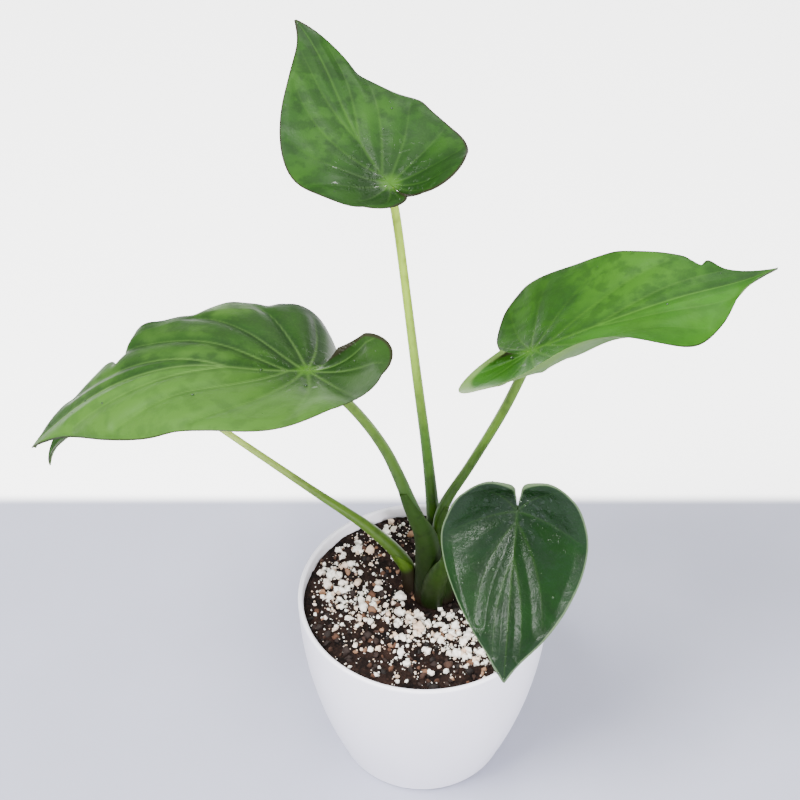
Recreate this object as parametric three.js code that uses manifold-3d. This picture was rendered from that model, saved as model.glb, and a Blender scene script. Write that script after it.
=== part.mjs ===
// A young potted aroid with heart-shaped leaves: a smooth round pot filled with a coarse
// potting mix, a short stem crown, and five leaves, each a tapering petiole and a blade.
// Millimetres, +Z up. The origin is the centre of the pot's underside, where it stands.
import * as THREE from "three";
import { mergeVertices } from "three/addons/utils/BufferGeometryUtils.js";
import Module from "manifold-3d";

const wasm = await Module();
wasm.setup();

// ---- driving dimensions ----
const POT_HEIGHT = 92;
const POT_RIM_RADIUS = 55;
const POT_BASE_RADIUS = 38.5;
const POT_WALL = 2.2;
const POT_FLOOR = 3;
const POT_EDGE_ROUND = 2;
const DRAIN_HOLES = 5;
const DRAIN_HOLE_RADIUS = 3;
const DRAIN_CIRCLE_RADIUS = 24;
const SOIL_BELOW_RIM = 5;
const CROWN_RADIUS = 5;
const CROWN_HEIGHT = 13;
const CROWN_DEPTH = 7;
const CROWN_CENTRE = new THREE.Vector2(3, 4);
const BLADE_THICKNESS = 0.8;
const GRAIN_COUNT = 34;
const GRAIN_RADIUS = 2.1;
const GRAIN_RADIUS_SPREAD = 0.5;
const GRAIN_CLEAR_OF_CROWN = 12;
const GAP = 0.3;

const SOIL_TOP = POT_HEIGHT - SOIL_BELOW_RIM;

// ---- how finely the round and the bent shapes are divided ----
const POT_SEGMENTS = 64;
const POT_RINGS = 10;
const PETIOLE_SIDES = 10;
const PETIOLE_STEPS = 16;
const BLADE_STEPS = 18;
const BLADE_RIBS = 12;

// ---- colours ----
const POT_WHITE = { color: 0xeceaf2, roughness: 0.35, metalness: 0 };
const SOIL_BROWN = { color: 0x2a1a14, roughness: 0.95, metalness: 0 };
const CROWN_GREEN = { color: 0x3f6a26, roughness: 0.55, metalness: 0 };
const PETIOLE_GREEN = { color: 0x5c9a30, roughness: 0.45, metalness: 0 };
const LEAF_GREEN = { color: 0x568f42, roughness: 0.35, metalness: 0 };
const DARK_LEAF_GREEN = { color: 0x28522f, roughness: 0.3, metalness: 0 };
const GRAIN_WHITE = { color: 0xf0e8dc, roughness: 0.9, metalness: 0 };

const plant = new THREE.Group();

function addMesh(name, geometry, finish) {
  const mesh = new THREE.Mesh(geometry, new THREE.MeshStandardMaterial(finish));
  mesh.name = name;
  plant.add(mesh);
  return mesh;
}

// ---- joining and cutting ----

// A closed geometry with only its positions, each shared corner kept once.
function welded(geometry) {
  const bare = geometry.clone();
  bare.deleteAttribute("normal");
  bare.deleteAttribute("uv");
  return mergeVertices(bare, 1e-3);
}

function toSolid(geometry) {
  const bare = welded(geometry);
  return new wasm.Manifold(
    new wasm.Mesh({
      numProp: 3,
      vertProperties: bare.attributes.position.array,
      triVerts: new Uint32Array(bare.index.array),
    }),
  );
}

function toGeometry(solid) {
  const mesh = solid.getMesh();
  const geometry = new THREE.BufferGeometry();
  geometry.setAttribute("position", new THREE.BufferAttribute(mesh.vertProperties, 3));
  geometry.setIndex(new THREE.BufferAttribute(mesh.triVerts, 1));
  geometry.computeVertexNormals();
  return geometry;
}

// ---- smooth values between evenly spaced stations, t running from 0 to 1 ----
function between(values, t) {
  const spans = values.length - 1;
  const place = Math.min(Math.max(t, 0), 1) * spans;
  const i = Math.min(Math.floor(place), spans - 1);
  const f = place - i;
  const start = values[i];
  const end = values[i + 1];
  const before = i > 0 ? values[i - 1] : 2 * start - end;
  const after = i < spans - 1 ? values[i + 2] : 2 * end - start;
  const leave = (end - before) / 2;
  const arrive = (after - start) / 2;
  const f2 = f * f;
  const f3 = f2 * f;
  return (
    (2 * f3 - 3 * f2 + 1) * start +
    (f3 - 2 * f2 + f) * leave +
    (3 * f2 - 2 * f3) * end +
    (f3 - f2) * arrive
  );
}

// ---- pot: its side swells quickly above the base and stands nearly upright at the rim ----
function potRadiusAt(z) {
  const below = 1 - z / POT_HEIGHT;
  return POT_BASE_RADIUS + (POT_RIM_RADIUS - POT_BASE_RADIUS) * (1 - below * below);
}

function potSolid() {
  const rimRound = POT_WALL / 2;
  const profile = [new THREE.Vector2(0, 0)];
  profile.push(new THREE.Vector2(potRadiusAt(0) - POT_EDGE_ROUND, 0));
  profile.push(new THREE.Vector2(potRadiusAt(0) - 0.3 * POT_EDGE_ROUND, 0.3 * POT_EDGE_ROUND));
  for (let ring = 0; ring <= POT_RINGS; ring++) {
    const z = POT_EDGE_ROUND + ((POT_HEIGHT - rimRound - POT_EDGE_ROUND) * ring) / POT_RINGS;
    profile.push(new THREE.Vector2(potRadiusAt(z), z));
  }
  const rimMiddle = potRadiusAt(POT_HEIGHT) - rimRound;
  profile.push(new THREE.Vector2(rimMiddle + 0.7 * rimRound, POT_HEIGHT - 0.3 * rimRound));
  profile.push(new THREE.Vector2(rimMiddle, POT_HEIGHT));
  profile.push(new THREE.Vector2(rimMiddle - 0.7 * rimRound, POT_HEIGHT - 0.3 * rimRound));
  for (let ring = POT_RINGS; ring >= 0; ring--) {
    const z = POT_FLOOR + ((POT_HEIGHT - rimRound - POT_FLOOR) * ring) / POT_RINGS;
    profile.push(new THREE.Vector2(potRadiusAt(z) - POT_WALL, z));
  }
  profile.push(new THREE.Vector2(0, POT_FLOOR));
  return toSolid(new THREE.LatheGeometry(profile, POT_SEGMENTS).rotateX(Math.PI / 2));
}

let pot = potSolid();
for (let i = 0; i < DRAIN_HOLES; i++) {
  const angle = (2 * Math.PI * (i + 0.5)) / DRAIN_HOLES;
  const drill = new THREE.CylinderGeometry(
    DRAIN_HOLE_RADIUS,
    DRAIN_HOLE_RADIUS,
    4 * POT_FLOOR,
    12,
  );
  drill.rotateX(Math.PI / 2);
  drill.translate(
    DRAIN_CIRCLE_RADIUS * Math.cos(angle),
    DRAIN_CIRCLE_RADIUS * Math.sin(angle),
    0,
  );
  pot = pot.subtract(toSolid(drill));
}
addMesh("pot", toGeometry(pot), POT_WHITE);

// ---- crown: the short stem that the petioles wrap, half sunk in the potting mix ----
function crownSolid(clearance) {
  const radius = CROWN_RADIUS + clearance;
  const bottom = SOIL_TOP - CROWN_DEPTH - clearance;
  const top = SOIL_TOP + CROWN_HEIGHT + clearance;
  const shoulder = top - 0.4 * CROWN_RADIUS;
  const profile = [
    new THREE.Vector2(0, bottom),
    new THREE.Vector2(radius, bottom),
    new THREE.Vector2(radius, shoulder),
    new THREE.Vector2(0.6 * radius, top),
    new THREE.Vector2(0, top),
  ];
  const shape = new THREE.LatheGeometry(profile, 20).rotateX(Math.PI / 2);
  return toSolid(shape.translate(CROWN_CENTRE.x, CROWN_CENTRE.y, 0));
}

addMesh("crown", toGeometry(crownSolid(0)), CROWN_GREEN);

// ---- potting mix: a plug that fills the pot to just below its rim ----
function soilSolid() {
  const bottom = POT_FLOOR + GAP;
  const profile = [new THREE.Vector2(0, bottom)];
  for (let ring = 0; ring <= POT_RINGS; ring++) {
    const z = bottom + ((SOIL_TOP - bottom) * ring) / POT_RINGS;
    profile.push(new THREE.Vector2(potRadiusAt(z) - POT_WALL - GAP, z));
  }
  profile.push(new THREE.Vector2(0, SOIL_TOP));
  return toSolid(new THREE.LatheGeometry(profile, POT_SEGMENTS / 2).rotateX(Math.PI / 2));
}

addMesh("soil", toGeometry(soilSolid().subtract(crownSolid(GAP))), SOIL_BROWN);

// Everything up to the top of the mix and the gap above it, to trim the petioles' feet.
function groundSolid() {
  const depth = POT_HEIGHT;
  const block = new THREE.CylinderGeometry(POT_RIM_RADIUS, POT_RIM_RADIUS, depth, 16);
  block.rotateX(Math.PI / 2);
  return toSolid(block.translate(0, 0, SOIL_TOP + GAP - depth / 2));
}

// ---- leaves ----
// A blade's half outline in even steps from the notch at its base to its tip: how far along
// the midrib (as a share of its length) and how far out (as a share of the half width).
const OUTLINE_ALONG = [-0.1, -0.22, -0.27, -0.2, -0.04, 0.13, 0.31, 0.5, 0.69, 0.86, 1];
const OUTLINE_OUT = [0.03, 0.17, 0.45, 0.76, 0.95, 1, 0.92, 0.72, 0.45, 0.17, 0.015];
const RIB_SWEEP = 1.35;
const LIFT_RUN = 0.2;
const END_SHARE = 0.92;
const RIB_START = 0.004;
const WAVE_POWER = 2.5;

// RIB_SWEEP spaces the ribs' feet along the midrib, RIB_START keeps the first ones apart, and
// a lobe's lift grows to its full angle over LIFT_RUN of the length behind the hub. A margin's
// wave fades into the blade with WAVE_POWER. END_SHARE is how much of a petiole's slanting end
// stays below its blade.
// hub: where the petiole meets the blade, measured, like every point of a leaf, from the
// crown's centre at the top of the mix. heading, climb, roll: the midrib's direction about
// +Z, above the horizontal and about itself, in degrees, from the hub to the tip. leftFold and
// rightFold: how far each half is folded up, in degrees, from the notch to the tip. lobeLift:
// how far the left and right lobes rise behind the hub, and lobeReach: their length as a share
// of the outline's. leftWave and rightWave: how far each margin stands above the folded blade,
// in the same even steps as the outline. petiole: its centre line from the crown to the hub,
// and its radius there and at the blade.
const LEAVES = {
  top: {
    finish: LEAF_GREEN,
    length: 85,
    halfWidth: 32,
    hub: [-17, 21, 199],
    heading: [126, 120, 112, 116, 123],
    climb: [12, 25, 22, 21, 15],
    roll: [-8, -8, -2, 3, -3],
    leftFold: [38, 23, 23, 2, 0, 0],
    rightFold: [38, 37, 13, 1, -16, 10],
    leftWave: [1, 1, 1, 0, 0, 0, 0, 0, 0, 0, 0],
    rightWave: [-2, 0, 0, 0, -1, 0, 0, 0, 0, 1, 0],
    lobeLift: [22, 18],
    lobeReach: [1, 1],
    petiole: [[1, 5, -3], [1, 6, 18], [1, 6, 40], [-2, 7, 76], [-7, 10, 120], [-14, 19, 180]],
    footRadius: 3.4,
    neckRadius: 1.6,
  },
  right: {
    finish: LEAF_GREEN,
    length: 100,
    halfWidth: 44,
    hub: [37, 2, 136],
    heading: [0, 5, 12, 14, 24],
    climb: [26, 23, 14, 6, 12],
    roll: [-1, -3, 0, 0, -8],
    leftFold: [-24, -22, -2, 2, 8, 2],
    rightFold: [19, 16, 20, 28, -4, 13],
    leftWave: [-2, -3, -2, 0, 0, 0, 0, 0, 0, -1, -1],
    rightWave: [6, 4, 4, 6, 6, 4, 2, -1, 0, 2, 0],
    lobeLift: [30, -1],
    lobeReach: [0.6, 1],
    petiole: [[6, -1, -3], [4, 0, 18], [3, 0, 36], [5, 1, 53], [16, 1, 78], [28, 1, 107]],
    footRadius: 3.4,
    neckRadius: 1.9,
  },
  left: {
    finish: LEAF_GREEN,
    length: 115,
    halfWidth: 49,
    hub: [-48, -16, 141],
    heading: [192, 186, 188, 188, 194],
    climb: [6, 12, -12, -35, -44],
    roll: [10, 4, 6, 10, 2],
    leftFold: [34, 8, 12, 6, -15, -2],
    rightFold: [-10, 4, 6, -6, -2, -6],
    leftWave: [6, 3, 0, 0, 1, -1, 0, -1, -2, -1, 0],
    rightWave: [-2, -2, -1, 0, 0, 0, 0, 1, 0, 0, -2],
    lobeLift: [31, -40],
    lobeReach: [1, 1],
    petiole: [
      [-2, -1, -3], [-2, -2, 18], [-3, -3, 38], [-8, -5, 57], [-19, -8, 93], [-33, -13, 122],
    ],
    footRadius: 5.2,
    neckRadius: 1.9,
  },
  low_left: {
    finish: LEAF_GREEN,
    length: 62,
    halfWidth: 15,
    hub: [-106, 16, 103],
    heading: [200, 201, 203, 204, 204],
    climb: [-6, -6, -10, -34, -85],
    roll: [0, 0, 0, 0, 0],
    leftFold: [20, 30, 45, 45, 30, 10],
    rightFold: [12, 12, 10, 6, 6, 6],
    leftWave: [0, 0, 0, 0, 0, 0, 0, 0, 0, 0, 0],
    rightWave: [0, 0, 0, 0, 0, 0, 0, 0, 0, 0, 0],
    lobeLift: [15, 15],
    lobeReach: [1, 1],
    petiole: [[-8, 5, -3], [-11, 6, 13], [-26, 8, 32], [-52, 11, 54], [-84, 15, 81]],
    footRadius: 3.6,
    neckRadius: 1.3,
  },
  front: {
    finish: DARK_LEAF_GREEN,
    length: 75,
    halfWidth: 30,
    hub: [33, -26, 77],
    heading: [-98, -99, -96, -96, -98],
    climb: [-77, -60, -54, -66, -84],
    roll: [0, 0, 0, 0, 0],
    leftFold: [24, 22, 19, 11, 8, 8],
    rightFold: [24, 24, 21, 11, 8, 8],
    leftWave: [0, 0, 0, 0, 0, 0, 0, 0, 0, 0, 0],
    rightWave: [0, 0, 0, 0, 0, 0, 0, 0, 0, 0, 0],
    lobeLift: [14, 18],
    lobeReach: [1, 1],
    petiole: [[0, -6, -3], [3, -9, 18], [9, -12, 40], [18, -17, 58], [27, -20, 71]],
    footRadius: 5.0,
    neckRadius: 1.7,
  },
};

const LEAF_ORIGIN = new THREE.Vector3(CROWN_CENTRE.x, CROWN_CENTRE.y, SOIL_TOP);

function placed(point) {
  return new THREE.Vector3(...point).add(LEAF_ORIGIN);
}

// The midrib's centre line and its three directions (along, left, up) at every fine step.
function midribOf(leaf) {
  const fineSteps = 60;
  const stations = [];
  const point = placed(leaf.hub);
  const stride = leaf.length / fineSteps;
  for (let step = 0; step <= fineSteps; step++) {
    const t = step / fineSteps;
    const heading = THREE.MathUtils.degToRad(between(leaf.heading, t));
    const climb = THREE.MathUtils.degToRad(between(leaf.climb, t));
    const roll = THREE.MathUtils.degToRad(between(leaf.roll, t));
    const along = new THREE.Vector3(
      Math.cos(climb) * Math.cos(heading),
      Math.cos(climb) * Math.sin(heading),
      Math.sin(climb),
    );
    const left = new THREE.Vector3(-Math.sin(heading), Math.cos(heading), 0);
    const up = along.clone().cross(left);
    left.applyAxisAngle(along, roll);
    up.applyAxisAngle(along, roll);
    stations.push({ point: point.clone(), along, left, up });
    point.addScaledVector(along, stride);
  }
  return stations;
}

function stationAt(stations, t) {
  const last = stations.length - 1;
  const place = Math.min(Math.max(t, 0), 1) * last;
  const i = Math.min(Math.floor(place), last - 1);
  const f = place - i;
  const mixed = {};
  for (const key of ["point", "along", "left", "up"]) {
    mixed[key] = stations[i][key].clone().lerp(stations[i + 1][key], f);
  }
  return mixed;
}

// A point of the blade: u runs from the notch to the tip, across from -1 at the right margin
// to 1 at the left, and height is measured at right angles to the surface.
function bladePoint(leaf, stations, u, across, height) {
  const side = across < 0 ? -1 : 1;
  const out = Math.abs(across);
  const lobe = side > 0 ? leaf.lobeReach[0] : leaf.lobeReach[1];
  const outlineAlong = between(OUTLINE_ALONG, u);
  const edgeAlong = outlineAlong < 0 ? outlineAlong * lobe : outlineAlong;
  const foot = RIB_START * u + (1 - RIB_START) * Math.max((u - 0.1) / 0.9, 0) ** RIB_SWEEP;
  const along = foot + (edgeAlong - foot) * out;
  const reach = between(OUTLINE_OUT, u) * leaf.halfWidth * out;
  const folds = side > 0 ? leaf.leftFold : leaf.rightFold;
  const lift = side > 0 ? leaf.lobeLift[0] : leaf.lobeLift[1];
  const fold = THREE.MathUtils.degToRad(between(folds, u)) * out ** 0.6;
  const { point, along: forward, left, up } = stationAt(stations, along);
  const behind = Math.max(-along, 0);
  const liftAngle = THREE.MathUtils.degToRad(lift) * Math.min(behind / LIFT_RUN, 1);
  point.addScaledVector(stations[0].along, -behind * leaf.length * Math.cos(liftAngle));
  point.addScaledVector(stations[0].up, behind * leaf.length * Math.sin(liftAngle));
  point.addScaledVector(left, side * (reach * Math.cos(fold)));
  point.addScaledVector(up, reach * Math.sin(fold));
  const wave = between(side > 0 ? leaf.leftWave : leaf.rightWave, u);
  point.addScaledVector(up, wave * out ** WAVE_POWER);
  const normal = up.clone().multiplyScalar(Math.cos(fold));
  normal.addScaledVector(left, -side * Math.sin(fold));
  normal.addScaledVector(forward, Math.sin(liftAngle));
  return point.addScaledVector(normal.normalize(), height);
}

// A flat box of unit size is bent to the blade, so it stays one closed body.
function bladeGeometry(leaf, thickness) {
  const stations = midribOf(leaf);
  const box = new THREE.BoxGeometry(1, 2, 1, BLADE_STEPS, BLADE_RIBS, 1);
  const position = box.attributes.position;
  for (let i = 0; i < position.count; i++) {
    const u = position.getX(i) + 0.5;
    const point = bladePoint(leaf, stations, u, position.getY(i), thickness * position.getZ(i));
    position.setXYZ(i, point.x, point.y, point.z);
  }
  return box;
}

// A cylinder of unit size is bent along the petiole's centre line and tapered. It stops where
// the high side of its slanting end reaches the blade, which trims the last of it.
function petioleGeometry(leaf, clearance) {
  const points = leaf.petiole.map(placed);
  const hub = placed(leaf.hub);
  const lastLeg = hub.clone().sub(points[points.length - 1]).normalize();
  const facing = Math.abs(lastLeg.dot(midribOf(leaf)[0].up));
  const slant = Math.sqrt(1 - facing ** 2);
  const endDepth = BLADE_THICKNESS / 2 + GAP + END_SHARE * leaf.neckRadius * slant;
  points.push(hub.addScaledVector(lastLeg, -endDepth / facing));
  const path = new THREE.CatmullRomCurve3(points, false, "centripetal");
  const frames = path.computeFrenetFrames(PETIOLE_STEPS, false);
  const tube = new THREE.CylinderGeometry(1, 1, 1, PETIOLE_SIDES, PETIOLE_STEPS);
  const position = tube.attributes.position;
  for (let i = 0; i < position.count; i++) {
    const t = position.getY(i) + 0.5;
    const step = Math.round(t * PETIOLE_STEPS);
    const radius = THREE.MathUtils.lerp(leaf.footRadius, leaf.neckRadius, t ** 0.6) + clearance;
    const centre = path.getPointAt(t);
    centre.addScaledVector(frames.normals[step], radius * position.getX(i));
    centre.addScaledVector(frames.binormals[step], -radius * position.getZ(i));
    position.setXYZ(i, centre.x, centre.y, centre.z);
  }
  return tube;
}

// Each petiole is trimmed by the mix, the crown, its own blade and the petioles before it.
const ground = groundSolid();
const crownWithGap = crownSolid(GAP);
let neighbours = null;
for (const [name, leaf] of Object.entries(LEAVES)) {
  addMesh(`blade_${name}`, welded(bladeGeometry(leaf, BLADE_THICKNESS)), leaf.finish);
  const bladeWithGap = toSolid(bladeGeometry(leaf, BLADE_THICKNESS + 2 * GAP));
  let petiole = toSolid(petioleGeometry(leaf, 0));
  petiole = petiole.subtract(ground).subtract(crownWithGap).subtract(bladeWithGap);
  if (neighbours) {
    petiole = petiole.subtract(neighbours);
  }
  addMesh(`petiole_${name}`, toGeometry(petiole), PETIOLE_GREEN);
  const grown = toSolid(petioleGeometry(leaf, GAP));
  neighbours = neighbours ? neighbours.add(grown) : grown;
}

// ---- the larger white grains that lie on the mix, spread evenly by the golden angle ----
const GOLDEN_ANGLE = Math.PI * (3 - Math.sqrt(5));
const grainSize = GRAIN_RADIUS + GRAIN_RADIUS_SPREAD;
const outerReach = potRadiusAt(SOIL_TOP) - POT_WALL - 2 * grainSize;
const innerReach = GRAIN_CLEAR_OF_CROWN + CROWN_CENTRE.length();
for (let i = 0; i < GRAIN_COUNT; i++) {
  const share = (i + 0.5) / GRAIN_COUNT;
  const reach = Math.sqrt(innerReach ** 2 + (outerReach ** 2 - innerReach ** 2) * share);
  const radius = GRAIN_RADIUS + GRAIN_RADIUS_SPREAD * Math.sin(5 * i);
  const grain = new THREE.IcosahedronGeometry(radius, 0);
  grain.scale(1, 0.85, 0.75);
  grain.rotateX(2 * i);
  grain.rotateZ(3 * i);
  grain.computeBoundingBox();
  const lift = SOIL_TOP + GAP - grain.boundingBox.min.z;
  const angle = GOLDEN_ANGLE * i;
  grain.translate(reach * Math.cos(angle), reach * Math.sin(angle), lift);
  const number = String(i + 1).padStart(2, "0");
  addMesh(`grain_${number}`, welded(grain), GRAIN_WHITE);
}

export default plant;
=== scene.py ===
"""A young potted aroid: heart-shaped leaves on sheathing petioles in a round white pot.

The sizes below are in millimetres and degrees unless a name says otherwise; every mesh is
written in metres, in the same frame as the solid model that it rides on.
"""

import math

import bmesh
import bpy
import numpy as np
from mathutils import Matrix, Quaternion, Vector, noise


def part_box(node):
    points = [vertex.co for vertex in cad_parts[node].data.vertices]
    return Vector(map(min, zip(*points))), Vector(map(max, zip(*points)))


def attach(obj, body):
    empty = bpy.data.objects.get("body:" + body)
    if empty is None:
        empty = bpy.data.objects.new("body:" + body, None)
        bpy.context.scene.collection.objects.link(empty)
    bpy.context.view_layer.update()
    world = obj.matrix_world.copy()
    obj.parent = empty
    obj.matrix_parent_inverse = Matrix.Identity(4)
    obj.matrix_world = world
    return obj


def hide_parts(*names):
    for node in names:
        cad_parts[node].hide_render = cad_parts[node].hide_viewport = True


bl_info = {
    "name": "Potted Aroid",
    "version": (1, 0, 0),
    "blender": (4, 5, 0),
    "location": "3D View > Sidebar > Plant",
    "description": "Builds a potted foliage plant piece by piece around its solid model",
    "category": "Add Mesh",
}

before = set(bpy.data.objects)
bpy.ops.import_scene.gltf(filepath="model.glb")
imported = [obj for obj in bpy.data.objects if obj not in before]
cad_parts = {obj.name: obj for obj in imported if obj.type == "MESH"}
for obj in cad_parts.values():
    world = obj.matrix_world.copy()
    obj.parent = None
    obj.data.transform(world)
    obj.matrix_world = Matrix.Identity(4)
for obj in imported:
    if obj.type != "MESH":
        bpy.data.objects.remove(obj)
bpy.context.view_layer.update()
POT_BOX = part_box("pot")
SOIL_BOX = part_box("soil")
CROWN_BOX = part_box("crown")

MM = 0.001
BODY = "root"
POT_HEIGHT = POT_BOX[1][2] / MM
POT_RIM_RADIUS = POT_BOX[1][0] / MM
SOIL_TOP = SOIL_BOX[1][2] / MM
CROWN_X = (CROWN_BOX[0][0] + CROWN_BOX[1][0]) / 2 / MM
CROWN_Y = (CROWN_BOX[0][1] + CROWN_BOX[1][1]) / 2 / MM
LEAF_ORIGIN = np.array([CROWN_X, CROWN_Y, SOIL_TOP])

# ---------------------------------------------------------------- settings


def colour(name, description, default):
    """A colour setting."""
    return bpy.props.FloatVectorProperty(
        name=name, description=description, default=default, size=3, subtype="COLOR", min=0, max=1
    )


def length(name, description, default):
    """A length setting, in metres."""
    return bpy.props.FloatProperty(
        name=name, description=description, default=default, unit="LENGTH", subtype="DISTANCE"
    )


class PotSettings(bpy.types.PropertyGroup):
    """Sizes and colours of the pot."""

    base_radius: length("Base radius", "Radius of the pot where it stands", 38.5 * MM)
    wall: length("Wall", "Thickness of the pot's wall", 2.2 * MM)
    floor_thickness: length("Floor", "Thickness of the pot's floor", 3.0 * MM)
    white: colour("White", "Colour of the pot", (0.92, 0.90, 1.0))
    roughness: bpy.props.FloatProperty(
        name="Roughness", description="How matt the pot is", default=0.3, min=0, max=1
    )


class MixSettings(bpy.types.PropertyGroup):
    """Sizes and colours of the potting mix."""

    grain_count: bpy.props.IntProperty(
        name="Grains", description="How many fine white grains lie on the mix", default=1300
    )
    chip_count: bpy.props.IntProperty(
        name="Chips", description="How many bark chips lie on the mix", default=420
    )
    soil_dark: colour("Wet soil", "Darkest colour of the mix", (0.0022, 0.0010, 0.0008))
    soil_light: colour("Soil", "Lightest colour of the mix", (0.022, 0.010, 0.007))
    grain_white: colour("Grain white", "Cleanest colour of a grain", (0.93, 0.90, 0.84))
    grain_cream: colour("Grain cream", "Stained colour of a grain", (0.72, 0.52, 0.38))


class LeafSettings(bpy.types.PropertyGroup):
    """Sizes and colours of the leaves."""

    thickness: length("Thickness", "Thickness of a blade between its veins", 0.5 * MM)
    green: colour("Green", "Main colour of the lighter blades", (0.0075, 0.036, 0.002))
    light: colour("Light green", "Palest colour of the lighter blades", (0.020, 0.070, 0.005))
    deep: colour("Deep green", "Deepest colour of the lighter blades", (0.0035, 0.018, 0.0012))
    dark: colour("Dark leaf", "Main colour of the dark front blade", (0.0030, 0.018, 0.0020))
    vein: colour("Vein", "Colour of the veins", (0.060, 0.150, 0.018))
    under: colour("Underside", "Colour of a blade's underside", (0.10, 0.18, 0.055))


class StageSettings(bpy.types.PropertyGroup):
    """Floor and light."""

    floor_colour: colour("Floor", "Colour of the floor", (0.37, 0.38, 0.47))
    backdrop_colour: colour("Backdrop", "Colour of the floor's far part", (0.95, 0.95, 0.94))
    light: bpy.props.FloatProperty(name="Light", description="Strength of the sky", default=1.5)


# ---------------------------------------------------------------- shader helpers


def scaled(shade, factor):
    """A colour made darker or lighter."""
    return tuple(factor * channel for channel in shade)


class Value:
    """A number on a shader socket: sums written with it add the Math nodes they need."""

    def __init__(self, finish, socket):
        self.finish = finish
        self.socket = socket

    def _sum(self, operation, left, right):
        node = self.finish.node("ShaderNodeMath", {"operation": operation}, {0: left, 1: right})
        return Value(self.finish, node.outputs[0])

    def __add__(self, other):
        return self._sum("ADD", self, other)

    __radd__ = __add__

    def __mul__(self, other):
        return self._sum("MULTIPLY", self, other)

    __rmul__ = __mul__

    def __sub__(self, other):
        return self._sum("SUBTRACT", self, other)

    def __rsub__(self, other):
        return self._sum("SUBTRACT", other, self)

    def clamp(self):
        """The number kept between 0 and 1."""
        node = self.finish.node("ShaderNodeClamp", {}, {"Value": self})
        return Value(self.finish, node.outputs[0])


class Nodes:
    """A shader node tree under construction."""

    def __init__(self, tree):
        self.tree = tree

    def node(self, kind, settings, values):
        node = self.tree.nodes.new(kind)
        for key, setting in settings.items():
            if key == "stops":
                self._set_stops(node.color_ramp, setting)
            else:
                setattr(node, key, setting)
        for key, value in values.items():
            self.plug(node.inputs[key], value)
        return node

    def _set_stops(self, ramp, stops):
        while len(ramp.elements) < len(stops):
            ramp.elements.new(0.5)
        for element, (position, shade) in zip(ramp.elements, stops):
            element.position = position
            element.color = (*shade, 1)

    def plug(self, socket, value):
        if isinstance(value, Value):
            self.tree.links.new(value.socket, socket)
        elif isinstance(value, bpy.types.NodeSocket):
            self.tree.links.new(value, socket)
        elif isinstance(value, (int, float)):
            socket.default_value = value
        else:
            shade = tuple(value)
            wants = len(socket.default_value)
            socket.default_value = shade + (1,) * (wants - len(shade))

    def attribute(self, name):
        """A mask or a measure that the mesh carries on its points."""
        node = self.node("ShaderNodeAttribute", {"attribute_name": name}, {})
        return Value(self, node.outputs["Fac"])

    def place(self):
        """Where a point lies in the piece's own frame, in metres."""
        return self.node("ShaderNodeTexCoord", {}, {}).outputs["Object"]

    def noise(self, scale, detail=2.0, roughness=0.5):
        """Cloudy noise from 0 to 1; scale is how many waves it has in a metre."""
        values = {"Scale": scale, "Detail": detail, "Roughness": roughness, "Vector": self.place()}
        return Value(self, self.node("ShaderNodeTexNoise", {}, values).outputs["Fac"])

    def cells(self, scale):
        """Distance to the middle of the nearest cell."""
        values = {"Scale": scale, "Vector": self.place()}
        return Value(self, self.node("ShaderNodeTexVoronoi", {}, values).outputs["Distance"])

    def span(self, value, low, high):
        """0 where value is at low or beyond, 1 at high or beyond, smooth between."""
        node = self.node(
            "ShaderNodeMapRange",
            {"interpolation_type": "SMOOTHSTEP"},
            {"Value": value, "From Min": low, "From Max": high},
        )
        return Value(self, node.outputs["Result"])

    def mix(self, factor, first, second, blend="MIX"):
        settings = {"data_type": "RGBA", "blend_type": blend}
        values = {0: factor, 6: first, 7: second}
        return self.node("ShaderNodeMix", settings, values).outputs[2]

    def bump(self, height, strength, distance, normal=None):
        values = {"Height": height, "Strength": strength, "Distance": distance}
        if normal is not None:
            values["Normal"] = normal
        return self.node("ShaderNodeBump", {}, values).outputs["Normal"]


class Finish(Nodes):
    """A material under construction."""

    def __init__(self, name):
        self.material = bpy.data.materials.new(name)
        self.material.use_nodes = True
        super().__init__(self.material.node_tree)
        self.tree.nodes.clear()
        self.shader = self.tree.nodes.new("ShaderNodeBsdfPrincipled")
        output = self.tree.nodes.new("ShaderNodeOutputMaterial")
        self.tree.links.new(self.shader.outputs[0], output.inputs["Surface"])

    def set(self, **values):
        for key, value in values.items():
            self.plug(self.shader.inputs[key.replace("_", " ")], value)


# ---------------------------------------------------------------- mesh helpers


def add_object(name, vertices, faces, material, nodes=(), attributes=None, uvs=None):
    """Make a mesh piece from points in millimetres and ride it on the plant."""
    mesh = bpy.data.meshes.new(name)
    mesh.from_pydata((np.asarray(vertices) * MM).tolist(), [], faces)
    mesh.validate()
    mesh.polygons.foreach_set("use_smooth", [True] * len(mesh.polygons))
    for key, values in (attributes or {}).items():
        layer = mesh.attributes.new(key, "FLOAT", "POINT")
        layer.data.foreach_set("value", np.asarray(values, dtype=np.float32))
    if uvs is not None:
        layer = mesh.uv_layers.new(name="OFBake")
        corners = np.empty(len(mesh.loops), dtype=np.int32)
        mesh.loops.foreach_get("vertex_index", corners)
        layer.data.foreach_set("uv", np.asarray(uvs, dtype=np.float32)[corners].ravel())
    mesh.materials.append(material)
    piece = bpy.data.objects.new(name, mesh)
    bpy.context.scene.collection.objects.link(piece)
    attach(piece, BODY)
    if nodes:
        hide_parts(*nodes)
    return piece


def grid_faces(rows, columns, start=0, closed=False):
    """Quads over rows x columns points; closed joins the last column to the first."""
    last = columns if closed else columns - 1
    faces = []
    for i in range(rows - 1):
        for j in range(last):
            right = (j + 1) % columns
            near = start + i * columns
            far = near + columns
            faces.append((near + j, near + right, far + right, far + j))
    return faces


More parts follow.
